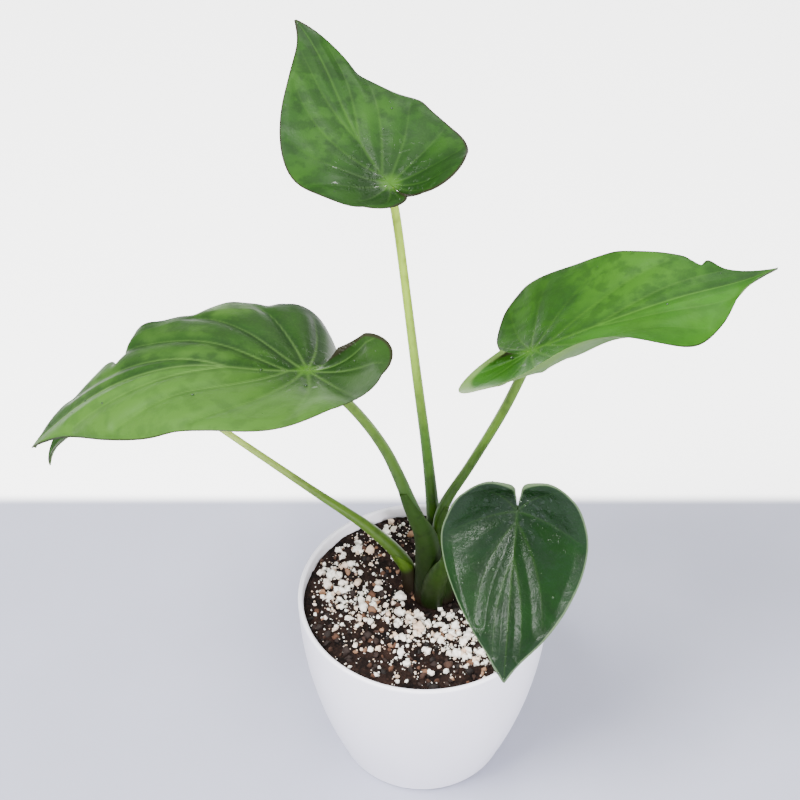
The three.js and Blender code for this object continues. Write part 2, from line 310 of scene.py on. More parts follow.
def between(values, t):
    """Smooth values between evenly spaced stations, t running from 0 to 1."""
    values = np.asarray(values, dtype=float)
    spans = len(values) - 1
    place = np.clip(t, 0, 1) * spans
    i = np.minimum(place.astype(int), spans - 1)
    f = place - i
    start = values[i]
    end = values[i + 1]
    before = np.where(i > 0, values[np.maximum(i - 1, 0)], 2 * start - end)
    after = np.where(i < spans - 1, values[np.minimum(i + 2, spans)], 2 * end - start)
    leave = (end - before) / 2
    arrive = (after - start) / 2
    return (
        (2 * f**3 - 3 * f**2 + 1) * start
        + (f**3 - 2 * f**2 + f) * leave
        + (3 * f**2 - 2 * f**3) * end
        + (f**3 - f**2) * arrive
    )


def smooth_noise(point, scale, seed=0.0):
    """Noise from -1 to 1 at a point in millimetres, with features about scale across."""
    return noise.noise(Vector((point[0] / scale + seed, point[1] / scale, point[2] / scale)))


# ---------------------------------------------------------------- pot


# The pot: the smallest radius of a turned outline, the rounding of its foot, and its drains.
AXIS_GAP = 0.001
FOOT_ROUND = 2.0
POT_SEGMENTS = 160
DRAIN_COUNT = 5
DRAIN_CIRCLE = 24.0
DRAIN_RADIUS = 3.0
DRAIN_SIDES = 32
DRILL_DEPTH = 4.0


def pot_radius_at(z, base_radius):
    """The pot's outer radius at a height: the side swells out towards the rim."""
    below = 1 - z / POT_HEIGHT
    return base_radius + (POT_RIM_RADIUS - base_radius) * (1 - below * below)


def pot_profile(settings):
    """The wall's outline from the centre of the underside, over the rim, to the floor."""
    base = settings.base_radius / MM
    wall = settings.wall / MM
    floor_top = settings.floor_thickness / MM
    rim_round = wall / 2
    profile = [(AXIS_GAP, 0.0), (DRAIN_CIRCLE / 2, 0.0), (DRAIN_CIRCLE, 0.0)]
    profile.append((base - FOOT_ROUND - 1.0, 0.0))
    for step in range(1, 8):
        turn = math.radians(90 * step / 8)
        radius = pot_radius_at(FOOT_ROUND, base) - FOOT_ROUND * (1 - math.sin(turn))
        profile.append((radius, FOOT_ROUND * (1 - math.cos(turn))))
    for z in np.linspace(FOOT_ROUND, POT_HEIGHT - rim_round, 48):
        profile.append((pot_radius_at(z, base), z))
    middle = pot_radius_at(POT_HEIGHT, base) - rim_round
    for step in range(1, 12):
        turn = math.radians(180 * step / 12)
        height = POT_HEIGHT - rim_round + rim_round * math.sin(turn)
        profile.append((middle + rim_round * math.cos(turn), height))
    for z in np.linspace(POT_HEIGHT - rim_round, floor_top, 24):
        profile.append((pot_radius_at(z, base) - wall, z))
    profile.append((AXIS_GAP, floor_top))
    return np.array(profile)


def turned(profile, segments):
    """Points and faces of a profile turned about the vertical axis."""
    angles = np.linspace(0, 2 * math.pi, segments, endpoint=False)
    ring = np.stack([np.cos(angles), np.sin(angles)], 1)
    points = np.concatenate(
        [np.column_stack([ring * radius, np.full(segments, height)]) for radius, height in profile]
    )
    return points, grid_faces(len(profile), segments, closed=True)


def pot_finish(settings):
    """Satin white plastic with a faint orange peel."""
    finish = Finish("pot_glaze_white")
    speckle = finish.noise(420.0, 3.0, 0.6)
    broad = finish.noise(16.0, 2.0)
    white = tuple(settings.white)
    tone = finish.mix(finish.span(broad, 0.3, 0.7), white, scaled(white, 0.93))
    orange_peel = finish.bump(speckle, 0.05, 0.0002)
    finish.set(
        Base_Color=tone,
        Roughness=settings.roughness + 0.08 * broad,
        Normal=orange_peel,
        IOR=1.5,
    )
    return finish.material


class PLANT_OT_pot(bpy.types.Operator):
    """Turn the pot from its wall outline"""

    bl_idname = "plant.pot"
    bl_label = "Pot"

    def execute(self, context):
        settings = context.scene.plant_pot
        points, faces = turned(pot_profile(settings), POT_SEGMENTS)
        pot = add_object("pot_body", points, faces, pot_finish(settings), ["pot"])
        drill_drain_holes(pot)
        return {"FINISHED"}


def drill_drain_holes(pot):
    """Cut the ring of drain holes through the pot's floor."""
    sides = DRAIN_SIDES
    vertices = []
    faces = []
    for hole in range(DRAIN_COUNT):
        angle = 2 * math.pi * (hole + 0.5) / DRAIN_COUNT
        centre = (DRAIN_CIRCLE * math.cos(angle), DRAIN_CIRCLE * math.sin(angle))
        start = len(vertices)
        for z in (-DRILL_DEPTH, DRILL_DEPTH):
            for side in range(sides):
                turn = 2 * math.pi * side / sides
                x = centre[0] + DRAIN_RADIUS * math.cos(turn)
                y = centre[1] + DRAIN_RADIUS * math.sin(turn)
                vertices.append((x * MM, y * MM, z * MM))
        faces.append(tuple(start + side for side in reversed(range(sides))))
        faces.append(tuple(start + sides + side for side in range(sides)))
        for side in range(sides):
            after = (side + 1) % sides
            faces.append((start + side, start + after, start + sides + after, start + sides + side))
    mesh = bpy.data.meshes.new("drill")
    mesh.from_pydata(vertices, [], faces)
    drill = bpy.data.objects.new("drill", mesh)
    bpy.context.scene.collection.objects.link(drill)
    cut = pot.modifiers.new("drain_holes", "BOOLEAN")
    cut.operation = "DIFFERENCE"
    cut.object = drill
    depsgraph = bpy.context.evaluated_depsgraph_get()
    drilled = bpy.data.meshes.new_from_object(pot.evaluated_get(depsgraph))
    pot.modifiers.clear()
    pot.data = drilled
    drilled.polygons.foreach_set("use_smooth", [True] * len(drilled.polygons))
    bpy.data.objects.remove(drill)


# ---------------------------------------------------------------- potting mix


# The mix: its gap to the pot's wall and floor, the radius of its innermost ring, how far
# under its top the side starts, and how finely it is divided.
MIX_GAP = 0.15
MIX_FLOOR_GAP = 0.2
AXIS_RADIUS = 0.02
MIX_SIDE_START = 6
MIX_RINGS = 150
MIX_SIDE_RINGS = 12
MIX_SEGMENTS = 360


def soil_height(x, y):
    """The crumbly top of the mix: lumps, crumbs and a hollow around the crown."""
    point = (x, y, 0.0)
    lumps = 0.9 * smooth_noise(point, 9.0)
    crumbs = 0.55 * smooth_noise(point, 2.6, 11.0) + 0.3 * smooth_noise(point, 1.2, 23.0)
    from_crown = math.hypot(x - CROWN_X, y - CROWN_Y)
    hollow = 1.3 * math.exp(-((from_crown / 11.0) ** 2))
    return SOIL_TOP - 0.9 + lumps + crumbs - hollow


def soil_finish(settings):
    """Damp dark peat with lighter crumbs."""
    finish = Finish("damp_potting_mix")
    coarse = finish.noise(160.0, 6.0, 0.65)
    crumbs = finish.cells(700.0)
    tone = finish.mix(
        finish.span(coarse, 0.35, 0.75), tuple(settings.soil_dark), tuple(settings.soil_light)
    )
    tone = finish.mix(finish.span(crumbs, 0.5, 0.1) * 0.3, tone, (0.05, 0.026, 0.018))
    rough = finish.bump(finish.noise(900.0, 4.0, 0.7), 0.9, 0.0006)
    finish.set(
        Base_Color=tone, Roughness=0.95 - 0.25 * coarse, Normal=rough, Specular_IOR_Level=0.15
    )
    return finish.material


class PLANT_OT_potting_mix(bpy.types.Operator):
    """Fill the pot with potting mix"""

    bl_idname = "plant.potting_mix"
    bl_label = "Potting mix"

    def execute(self, context):
        pot = context.scene.plant_pot
        base = pot.base_radius / MM
        wall = pot.wall / MM
        reach = pot_radius_at(SOIL_TOP, base) - wall - MIX_GAP
        angles = np.linspace(0, 2 * math.pi, MIX_SEGMENTS, endpoint=False)
        vertices = []
        for ring in range(MIX_RINGS):
            radius = max(reach * ring / (MIX_RINGS - 1), AXIS_RADIUS)
            for angle in angles:
                x = radius * math.cos(angle)
                y = radius * math.sin(angle)
                vertices.append((x, y, soil_height(x, y)))
        floor_top = pot.floor_thickness / MM
        bottom = floor_top + MIX_FLOOR_GAP
        for z in np.linspace(SOIL_TOP - MIX_SIDE_START, bottom, MIX_SIDE_RINGS):
            radius = pot_radius_at(z, base) - wall - MIX_GAP
            for angle in angles:
                vertices.append((radius * math.cos(angle), radius * math.sin(angle), z))
        for angle in angles:
            vertices.append((AXIS_RADIUS * math.cos(angle), AXIS_RADIUS * math.sin(angle), bottom))
        rows = MIX_RINGS + MIX_SIDE_RINGS + 1
        faces = [tuple(reversed(f)) for f in grid_faces(rows, MIX_SEGMENTS, closed=True)]
        finish = soil_finish(context.scene.plant_mix)
        add_object("potting_mix", vertices, faces, finish, ["soil"])
        return {"FINISHED"}


def unit_ball(level):
    """Vertices and faces of a round ball of triangles."""
    ball = bmesh.new()
    bmesh.ops.create_icosphere(ball, subdivisions=level, radius=1.0)
    ball.verts.ensure_lookup_table()
    vertices = np.array([v.co[:] for v in ball.verts])
    faces = np.array([[v.index for v in f.verts] for f in ball.faces])
    ball.free()
    return vertices, faces


# Where the white grains have gathered: x, y, how far they spread, how thickly they lie.
GRAIN_BANKS = [
    (-44, 18, 9, 0.9), (-36, 5, 10, 1.0), (-25, -5, 8, 1.0), (-12, -10, 8, 0.8), (-2, -17, 8, 0.9),
    (12, -21, 8, 1.2), (21, -26, 8, 1.2), (-30, 34, 8, 0.6), (-20, 44, 7, 0.5), (-8, 45, 8, 0.6),
    (-8, -41, 5, 0.35), (24, 20, 12, 0.8), (38, 2, 10, 0.7), (12, 38, 10, 0.6), (36, -16, 9, 0.8),
]

# The large grain that lies alone beside the crown: its place from the crown, and its radius.
LONE_GRAIN = (-12.9, -2.3, 2.1)

# How often a place is tried for, and the side of the cells that neighbours are looked up in.
SCATTER_TRIES = 60000
SCATTER_CELL = 6.0


def grain_density(x, y, reach, least):
    """How thickly grains lie at a point: in banks, and thin at the rim and at the crown."""
    banks = sum(
        weight * math.exp(-((x - bank_x) ** 2 + (y - bank_y) ** 2) / spread**2)
        for bank_x, bank_y, spread, weight in GRAIN_BANKS
    )
    rim = 1 - max(0.0, (math.hypot(x, y) / reach - 0.82) / 0.18) * 0.8
    crown = min(1.0, max(0.0, (math.hypot(x - CROWN_X, y - CROWN_Y) - 9.0) / 5.0))
    patches = 0.55 + 1.5 * smooth_noise((x, y, 0), 4.5, 3.0)
    return (least + min(1.0, banks) * min(1.0, max(0.0, patches))) * rim * crown


def scatter(count, reach, radii, rng, spacing, density):
    """Places for round bits on the mix that keep spacing x their radii apart."""
    places = []
    cells = {}
    radii = sorted(radii, reverse=True)
    for _ in range(SCATTER_TRIES):
        if len(places) >= count:
            break
        angle = rng.uniform(0, 2 * math.pi)
        distance = reach * math.sqrt(rng.uniform())
        x = distance * math.cos(angle)
        y = distance * math.sin(angle)
        if rng.uniform() > density(x, y):
            continue
        radius = radii[len(places)]
        key = (int(x // SCATTER_CELL), int(y // SCATTER_CELL))
        near = (
            other
            for i in (-1, 0, 1)
            for j in (-1, 0, 1)
            for other in cells.get((key[0] + i, key[1] + j), ())
        )
        if any(math.hypot(x - p[0], y - p[1]) < spacing * (radius + p[2]) for p in near):
            continue
        cells.setdefault(key, []).append((x, y, radius))
        places.append((x, y, radius))
    return places


def grain_mesh(places, rng, level, squash, roughen, sink):
    """Irregular bits at the places, each turned at random and partly sunk in the mix."""
    ball, ball_faces = unit_ball(level)
    all_vertices = []
    all_faces = []
    tones = []
    start = 0
    for x, y, radius in places:
        shift = rng.uniform(-50, 50, 3)
        shape = np.array(
            [v * (1 + roughen * noise.noise(Vector(v * 1.3 + shift)) * 2) for v in ball]
        )
        knobs = np.array([noise.noise(Vector(v * 3.1 - shift)) for v in ball])
        shape *= (1 + 0.6 * roughen * knobs)[:, None]
        shape *= rng.uniform(1 - squash, 1 + squash * 0.4, 3)
        spin = rng.normal(size=4)
        turn = np.array(Quaternion(spin / np.linalg.norm(spin)).to_matrix())
        shape = shape @ turn.T * radius
        lift = soil_height(x, y) + radius * (1 - sink)
        all_vertices.append(shape + np.array([x, y, lift]))
        all_faces.append(ball_faces + start)
        tones.append(np.full(len(ball), rng.uniform()))
        start += len(ball)
    return np.concatenate(all_vertices), np.concatenate(all_faces).tolist(), np.concatenate(tones)


def perlite_finish(settings, name):
    """Matt cream-white grains, pitted, with painted shade in the pits, some of them stained."""
    finish = Finish(name)
    tone = finish.attribute("tone")
    stain = finish.noise(300.0, 3.0, 0.6)
    amount = (finish.span(tone, 0.35, 0.95) * 0.9 + finish.span(stain, 0.45, 0.8) * 0.4).clamp()
    shade = finish.mix(amount, tuple(settings.grain_white), tuple(settings.grain_cream))
    pits = finish.cells(1500.0)
    # Darker and browner at the bottom of each pit: painted shade in the recesses.
    shade = finish.mix(finish.span(pits, 0.25, 0.0) * 0.35, shade, (0.35, 0.28, 0.24))
    rough = finish.bump(pits, 0.6, 0.0003)
    finish.set(Base_Color=shade, Roughness=0.88, Normal=rough)
    return finish.material


def chip_finish():
    """Bark and fibre: mostly near black, a few chips pale."""
    finish = Finish("bark_and_fibre")
    tone = finish.attribute("tone")
    fibre = finish.noise(500.0, 4.0, 0.6)
    ramp = finish.node(
        "ShaderNodeValToRGB",
        {"stops": [(0.0, (0.004, 0.002, 0.0015)), (0.6, (0.028, 0.011, 0.007)),
                   (0.85, (0.12, 0.05, 0.025)), (1.0, (0.40, 0.22, 0.13))]},
        {"Fac": tone},
    )
    shade = finish.mix(fibre * 0.5, ramp.outputs["Color"], (0.05, 0.025, 0.018), "MULTIPLY")
    rough = finish.bump(fibre, 0.5, 0.0004)
    finish.set(Base_Color=shade, Roughness=0.85, Normal=rough)
    return finish.material


class PLANT_OT_grains(bpy.types.Operator):
    """Scatter white grains and bark chips on the mix"""

    bl_idname = "plant.grains"
    bl_label = "Grains and chips"

    def execute(self, context):
        mix = context.scene.plant_mix
        pot = context.scene.plant_pot
        reach = pot_radius_at(SOIL_TOP, pot.base_radius / MM) - pot.wall / MM - 1.2
        rng = np.random.default_rng(7)
        # name, how many, (middle, spread, least and most radius), density off the banks, detail
        kinds = (
            ("perlite_coarse", mix.grain_count // 9, (1.45, 0.3, 1.1, 2.6), 0.03, 3),
            ("perlite_medium", mix.grain_count // 3, (0.8, 0.25, 0.5, 1.15), 0.06, 2),
            ("perlite_fine", 3 * mix.grain_count // 2, (0.33, 0.35, 0.18, 0.65), 0.1, 1),
        )
        cad_grains = [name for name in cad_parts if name.startswith("grain_")]
        for name, count, (middle, spread, least, most), everywhere, level in kinds:
            radii = np.clip(rng.lognormal(math.log(middle), spread, count), least, most)
            places = scatter(
                count, reach - middle, radii, rng, 0.74,
                lambda x, y: grain_density(x, y, reach, everywhere),
            )
            if name == "perlite_coarse":
                places.append((CROWN_X + LONE_GRAIN[0], CROWN_Y + LONE_GRAIN[1], LONE_GRAIN[2]))
            vertices, faces, tones = grain_mesh(places, rng, level, 0.28, 0.34, 0.4)
            finish = perlite_finish(mix, name)
            nodes = cad_grains if name == "perlite_coarse" else ()
            add_object(name, vertices, faces, finish, nodes, {"tone": tones})
        chip_radii = rng.uniform(0.5, 1.7, mix.chip_count)
        chips = scatter(mix.chip_count, reach, chip_radii, rng, 0.45, lambda x, y: 1.0)
        vertices, faces, tones = grain_mesh(chips, rng, 2, 0.62, 0.35, 0.75)
        add_object(
            "bark_chips", vertices, faces, chip_finish(), (), {"tone": tones}
        )
        return {"FINISHED"}


# ---------------------------------------------------------------- leaves

# A blade's half outline in even steps from the notch at its base to its tip: how far along
# the midrib (as a share of its length) and how far out (as a share of the half width).
OUTLINE_ALONG = [-0.1, -0.22, -0.27, -0.2, -0.04, 0.13, 0.31, 0.5, 0.69, 0.86, 1]
OUTLINE_OUT = [0.03, 0.17, 0.45, 0.76, 0.95, 1, 0.92, 0.72, 0.45, 0.17, 0.012]

# Main veins of one half: where each leaves the midrib, where it meets the margin (both as
# the outline counts them), and how far it bows outwards.
VEINS = [
    (0.0, 0.13, 0.05),
    (0.0, 0.25, 0.10),
    (0.0, 0.37, 0.12),
    (0.0, 0.50, 0.13),
    (0.01, 0.65, 0.16),
    (0.06, 0.79, 0.16),
    (0.26, 0.89, 0.10),
]

# Where the rows of a blade leave its midrib: the share at the hub, and how fast they run on.
RIB_START = 0.004
RIB_SWEEP = 1.35

# How far behind the hub a lobe has its full lift, as a share of the midrib's length.
LIFT_RUN = 0.2

# How folds, waves and nicks grow from the midrib to the margin: powers of the way out.
FOLD_POWER = 0.6
WAVE_POWER = 2.5
NICK_POWER = 5

# How much of the way to the margin a main vein runs.
VEIN_RUN = 0.93

# The midrib and the main veins: their width at the foot and how much of it they lose by the
# end, and how wide the keels below them and the painted shade in the hollows beside them are.
MIDRIB = {"width": 0.75, "loss": 0.45, "keel": 1.1, "hollow": 2.6}
SIDE_VEIN = {"width": 0.6, "loss": 0.35, "keel": 0.8, "hollow": 2.2}

# How far a vein sinks in, how far its keel stands out below, how wide the band of the margin
# is, and how far from the hub the quilting is full.
VEIN_DEPTH = 0.12
KEEL_HEIGHT = 1.3
MARGIN_WIDTH = 0.9
QUILT_START = 14

# How finely a blade is divided, along it and across each half.
BLADE_ROWS = 220
BLADE_HALF_COLUMNS = 56

# What most leaves share. roll: how far the blade is turned about its midrib. left_wave and
# right_wave: how far the margin stands above or below the blade, in the same steps as the
# outline. lobe_reach: how long the left and the right lobe are, as a share of the outline's.
# nicks: small dents and bumps of the margin (side, where, how wide, how deep, how far raised).
# veins: which of VEINS it has. pillow: how far from a vein the blade has risen to its full
# quilting. beads: how many drops of water lie on it.
PLAIN_LEAF = {
    "roll": (0, 0, 0, 0, 0),
    "left_wave": (0,) * 11,
    "right_wave": (0,) * 11,
    "lobe_reach": (1, 1),
    "nicks": (),
    "veins": (0, 1, 2, 3, 4, 5, 6),
    "pillow": 3.2,
    "beads": 0,
}

# hub: where the petiole meets the blade, from the crown's centre at the top of the mix.
# heading and climb: the midrib's direction from the hub to the tip. left_fold and right_fold:
# how far each half is folded up, from the notch to the tip. lobe_lift: how far the left and
# the right lobe rise behind the hub. quilt: how far the blade rises between its veins.
# petiole and radii: its centre line, from the crown to the hub, and its radius along it.
# sheath: how far up the petiole it reaches, the way its back faces, how far its two edges
# reach round the petiole in degrees, and how much wider it is than the petiole at each edge.
# stain_and_shade_height: how far up the sheath is dark brown, partly a stain from the mix and
# partly painted shadow where it meets the mix. petiole_colours: foot, middle and neck.
LEAVES = {
    "top": PLAIN_LEAF | {
        "length": 85,
        "half_width": 32,
        "hub": (-17, 21, 199),
        "heading": (126, 120, 112, 116, 123),
        "climb": (12, 25, 22, 21, 15),
        "roll": (-8, -8, -2, 3, -3),
        "left_fold": (38, 23, 23, 2, 0, 0),
        "right_fold": (38, 37, 13, 1, -16, 10),
        "left_wave": (1, 1, 1, 0, 0, 0, 0, 0, 0, 0, 0),
        "right_wave": (-2, 0, 0, 0, -1, 0, 0, 0, 0, 1, 0),
        "lobe_lift": (22, 18),
        "nicks": (
            (-1, 0.775, 0.035, 3.2, 0.0),
            (-1, 0.65, 0.05, -2.4, 0.0),
            (-1, 0.41, 0.07, -2.0, 0.0),
            (-1, 0.22, 0.06, -1.8, 0.0),
        ),
        "beads": 24,
        "quilt": 0.7,
        "petiole": ((1, 5, -3), (1, 6, 18), (1, 6, 40), (-2, 7, 76), (-7, 10, 120), (-14, 19, 180)),
        "radii": (3.8, 3.0, 2.2, 1.9, 1.7, 1.7),
        "sheath": (56, (0.1, -1), (80, 80), (0.8, 0.8)),
        "stain_and_shade_height": 5,
        "petiole_colours": ((0.012, 0.035, 0.002), (0.045, 0.125, 0.005), (0.42, 0.60, 0.05)),
    },
    "right": PLAIN_LEAF | {
        "length": 100,
        "half_width": 44,
        "hub": (37, 2, 136),
        "heading": (0, 5, 12, 14, 24),
        "climb": (26, 23, 14, 6, 12),
        "roll": (-1, -3, 0, 0, -8),
        "left_fold": (-24, -22, -2, 2, 8, 2),
        "right_fold": (19, 16, 20, 28, -4, 13),
        "left_wave": (-2, -3, -2, 0, 0, 0, 0, 0, 0, -1, -1),
        "right_wave": (6, 4, 4, 6, 6, 4, 2, -1, 0, 2, 0),
        "lobe_reach": (0.6, 1),
        "lobe_lift": (30, -1),
        "nicks": (
            (1, 0.824, 0.013, 2.6, -0.8),
            (1, 0.85, 0.016, -1.2, 0.8),
            (1, 0.68, 0.03, -0.8, 0.0),
            (-1, 0.87, 0.045, 3.5, 0.0),
            (-1, 0.72, 0.05, -1.5, 0.0),
        ),
        "beads": 10,
        "quilt": 0.5,
        "petiole": ((6, -1, -3), (4, 0, 18), (3, 0, 36), (5, 1, 53), (16, 1, 78), (28, 1, 107)),
        "radii": (3.6, 3.0, 2.3, 2.0, 2.0, 2.0),
        "sheath": (58, (0.3, -1), (80, 95), (0.8, 1.4)),
        "stain_and_shade_height": 5,
        "petiole_colours": ((0.012, 0.035, 0.002), (0.040, 0.105, 0.005), (0.10, 0.19, 0.015)),
    },
    "left": PLAIN_LEAF | {
        "length": 115,
        "half_width": 49,
        "hub": (-48, -16, 141),
        "heading": (192, 186, 188, 188, 194),
        "climb": (6, 12, -12, -35, -44),
        "roll": (10, 4, 6, 10, 2),
        "left_fold": (34, 8, 12, 6, -15, -2),
        "right_fold": (-10, 4, 6, -6, -2, -6),
        "left_wave": (6, 3, 0, 0, 1, -1, 0, -1, -2, -1, 0),
        "right_wave": (-2, -2, -1, 0, 0, 0, 0, 1, 0, 0, -2),
        "lobe_lift": (31, -40),
        "nicks": (
            (-1, 0.765, 0.014, 18.0, -6.0),
            (-1, 0.722, 0.028, -3.0, 1.5),
            (-1, 0.845, 0.045, 0.0, -1.5),
            (-1, 0.56, 0.04, -2.5, 0.5),
            (-1, 0.63, 0.02, 1.2, -0.5),
            (-1, 0.47, 0.02, 1.0, -0.5),
            (1, 0.66, 0.03, 1.0, 0.0),
        ),
        "beads": 20,
        "quilt": 1.0,
        "petiole": (
            (-2, -1, -3), (-2, -2, 18), (-3, -3, 38), (-8, -5, 57), (-19, -8, 93), (-33, -13, 122)
        ),
        "radii": (4.6, 4.0, 3.0, 2.3, 2.0, 2.0),
        "sheath": (74, (-0.35, -0.94), (95, 112), (0.4, 3.6)),
        "stain_and_shade_height": 8,
        "petiole_colours": ((0.006, 0.018, 0.001), (0.028, 0.080, 0.003), (0.11, 0.21, 0.010)),
    },
    "low_left": PLAIN_LEAF | {
        "length": 62,
        "half_width": 15,
        "hub": (-106, 16, 103),
        "heading": (200, 201, 203, 204, 204),
        "climb": (-6, -6, -10, -34, -85),
        "left_fold": (20, 30, 45, 45, 30, 10),
        "right_fold": (12, 12, 10, 6, 6, 6),
        "lobe_lift": (15, 15),
        "quilt": 0.5,
        "petiole": ((-8, 5, -3), (-11, 6, 13), (-26, 8, 32), (-52, 11, 54), (-84, 15, 81)),
        "radii": (3.4, 2.8, 2.0, 1.6, 1.4, 1.3),
        "sheath": (24, (-0.5, -0.8), (90, 95), (0.5, 0.6)),
        "stain_and_shade_height": 14,
        "petiole_colours": ((0.010, 0.030, 0.002), (0.085, 0.175, 0.008), (0.55, 0.72, 0.13)),
    },
    "front": PLAIN_LEAF | {
        "length": 75,
        "half_width": 30,
        "hub": (33, -26, 77),
        "heading": (-98, -99, -96, -96, -98),
        "climb": (-77, -60, -54, -66, -84),
        "left_fold": (24, 22, 19, 11, 8, 8),
        "right_fold": (24, 24, 21, 11, 8, 8),
        "lobe_lift": (14, 18),
        "nicks": (
            (1, 0.05, 0.04, 1.1, 0.0),
            (1, 0.10, 0.04, 1.8, 0.0),
            (-1, 0.05, 0.04, 1.1, 0.0),
            (-1, 0.10, 0.04, 1.8, 0.0),
            (1, 0.74, 0.15, -2.6, 0.0),
            (-1, 0.92, 0.05, -1.0, 0.0),
        ),
        "veins": (1, 3, 5, 6),
        "beads": 60,
        "pillow": 5.5,
        "quilt": 1.5,
        "petiole": ((1, -4, -3), (3, -8.5, 18), (9, -12, 40), (18, -17, 58), (27, -20, 71)),
        "radii": (3.6, 3.6, 2.6, 2.0, 1.8, 1.8),
        "sheath": (42, (-0.25, -0.97), (105, 80), (3.0, 0.6)),
        "stain_and_shade_height": 3,
        "petiole_colours": ((0.008, 0.022, 0.001), (0.028, 0.075, 0.003), (0.02, 0.055, 0.004)),
    },
}


class Blade:
    """One blade's surface, from the stations of its leaf."""

    FINE = 80

    def __init__(self, leaf):
        self.leaf = leaf
        t = np.linspace(0, 1, self.FINE + 1)
        heading = np.radians(between(leaf["heading"], t))
        climb = np.radians(between(leaf["climb"], t))
        roll = np.radians(between(leaf["roll"], t))
        self.along = np.stack(
            [np.cos(climb) * np.cos(heading), np.cos(climb) * np.sin(heading), np.sin(climb)], 1
        )
        level = np.stack([-np.sin(heading), np.cos(heading), 0 * heading], 1)
        raised = np.cross(self.along, level)
        cosine = np.cos(roll)[:, None]
        sine = np.sin(roll)[:, None]
        self.left = level * cosine + raised * sine
        self.up = raised * cosine - level * sine
        stride = leaf["length"] / self.FINE
        steps = (self.along[1:] + self.along[:-1]) / 2 * stride
        start = LEAF_ORIGIN + np.array(leaf["hub"], dtype=float)
        self.spine = start + np.concatenate([[np.zeros(3)], np.cumsum(steps, 0)])

    def station(self, t, table):
        """The place or the direction that a table holds for a share of the midrib."""
        place = np.clip(t, 0, 1) * self.FINE
        i = np.minimum(place.astype(int), self.FINE - 1)
        f = (place - i)[..., None]
        return table[i] * (1 - f) + table[i + 1] * f

    def flat(self, u, across):
        """Where a point lies on the blade pressed flat: along the midrib, and out from it."""
        out = np.abs(across)
        foot = RIB_START * u + (1 - RIB_START) * np.maximum((u - 0.1) / 0.9, 0) ** RIB_SWEEP
        edge = between(OUTLINE_ALONG, u)
        lobe = np.where(across >= 0, self.leaf["lobe_reach"][0], self.leaf["lobe_reach"][1])
        edge = np.where(edge < 0, edge * lobe, edge)
        along = foot + (edge - foot) * out
        reach = between(OUTLINE_OUT, u) * self.leaf["half_width"] * out
        return along, reach

    def sheet(self, u, across):
        """The blade's middle surface for arrays of u and across."""
        leaf = self.leaf
        is_left = across >= 0
        side = np.where(is_left, 1.0, -1.0)
        out = np.abs(across)
        along, reach = self.flat(u, across)
        rise = 0.0
        for nick_side, place, width, pull, raised in leaf["nicks"]:
            bell = np.exp(-(((u - place) / width) ** 2)) * out**NICK_POWER * (side == nick_side)
            reach = np.maximum(reach - pull * bell, 0)
            rise = rise + raised * bell
        fold = np.where(is_left, between(leaf["left_fold"], u), between(leaf["right_fold"], u))
        fold = np.radians(fold) * out**FOLD_POWER
        lift = np.radians(np.where(is_left, leaf["lobe_lift"][0], leaf["lobe_lift"][1]))
        behind = np.maximum(-along, 0)
        lift = lift * np.minimum(behind / LIFT_RUN, 1)
        point = self.station(along, self.spine)
        left = self.station(along, self.left)
        up = self.station(along, self.up)
        back = (behind * leaf["length"])[..., None]
        point = point - self.along[0] * back * np.cos(lift)[..., None]
        point = point + self.up[0] * back * np.sin(lift)[..., None]
        point = point + left * (side * reach * np.cos(fold))[..., None]
        point = point + up * (reach * np.sin(fold))[..., None]
        wave = np.where(is_left, between(leaf["left_wave"], u), between(leaf["right_wave"], u))
        return point + up * (wave * out**WAVE_POWER + rise)[..., None]

    def veins(self):
        """The main veins of one half as polylines on the flat blade, in millimetres."""
        lines = []
        full = self.leaf["length"]
        half = self.leaf["half_width"]
        t = np.linspace(0, 1, 25)[:, None]
        for foot, margin, bow in (VEINS[i] for i in self.leaf["veins"]):
            u = np.array([margin])
            end = np.array([between(OUTLINE_ALONG, u)[0] * full, between(OUTLINE_OUT, u)[0] * half])
            start = np.array([foot * full, 0.0])
            run = (end - start) * VEIN_RUN
            end = start + run
            middle = (start + end) / 2 + bow * np.array([-run[1], run[0]])
            lines.append((1 - t) ** 2 * start + 2 * t * (1 - t) * middle + t**2 * end)
        return lines


def distance_to_line(points, line):
    """Distance from each point to a polyline, and how far along it the nearest place is."""
    best = np.full(points.shape[:-1], 1e9)
    share = np.zeros(points.shape[:-1])
    count = len(line) - 1
    for i in range(count):
        start = line[i]
        leg = line[i + 1] - start
        t = np.clip(((points - start) @ leg) / (leg @ leg), 0, 1)
        gap = np.linalg.norm(points - (start + t[..., None] * leg), axis=-1)
        closer = gap < best
        best = np.where(closer, gap, best)
        share = np.where(closer, (i + t) / count, share)
    return best, share


def surface_normals(points):
    """Unit normals of a grid of points, pointing up when rows run along and columns left."""
    rows = np.gradient(points, axis=0)
    columns = np.gradient(points, axis=1)
    normal = np.cross(rows, columns)
    size = np.linalg.norm(normal, axis=-1, keepdims=True)
    return normal / np.maximum(size, 1e-9)


def sheet_edges(rows, columns, count, flip=False):
    """Faces that close the rim between a grid of points and its copy count points on."""
    rim = [(0, j) for j in range(columns - 1)]
    rim += [(i, columns - 1) for i in range(rows - 1)]
    rim += [(rows - 1, j) for j in range(columns - 1, 0, -1)]
    rim += [(i, 0) for i in range(rows - 1, 0, -1)]
    loop = [i * columns + j for i, j in rim]
    edges = [(a, b, b + count, a + count) for a, b in zip(loop, loop[1:] + loop[:1])]
    return [tuple(reversed(face)) for face in edges] if flip else edges


def band(gap, width):
    """1 on a line and falling off smoothly with the gap to it."""
    return np.exp(-((gap / width) ** 2))


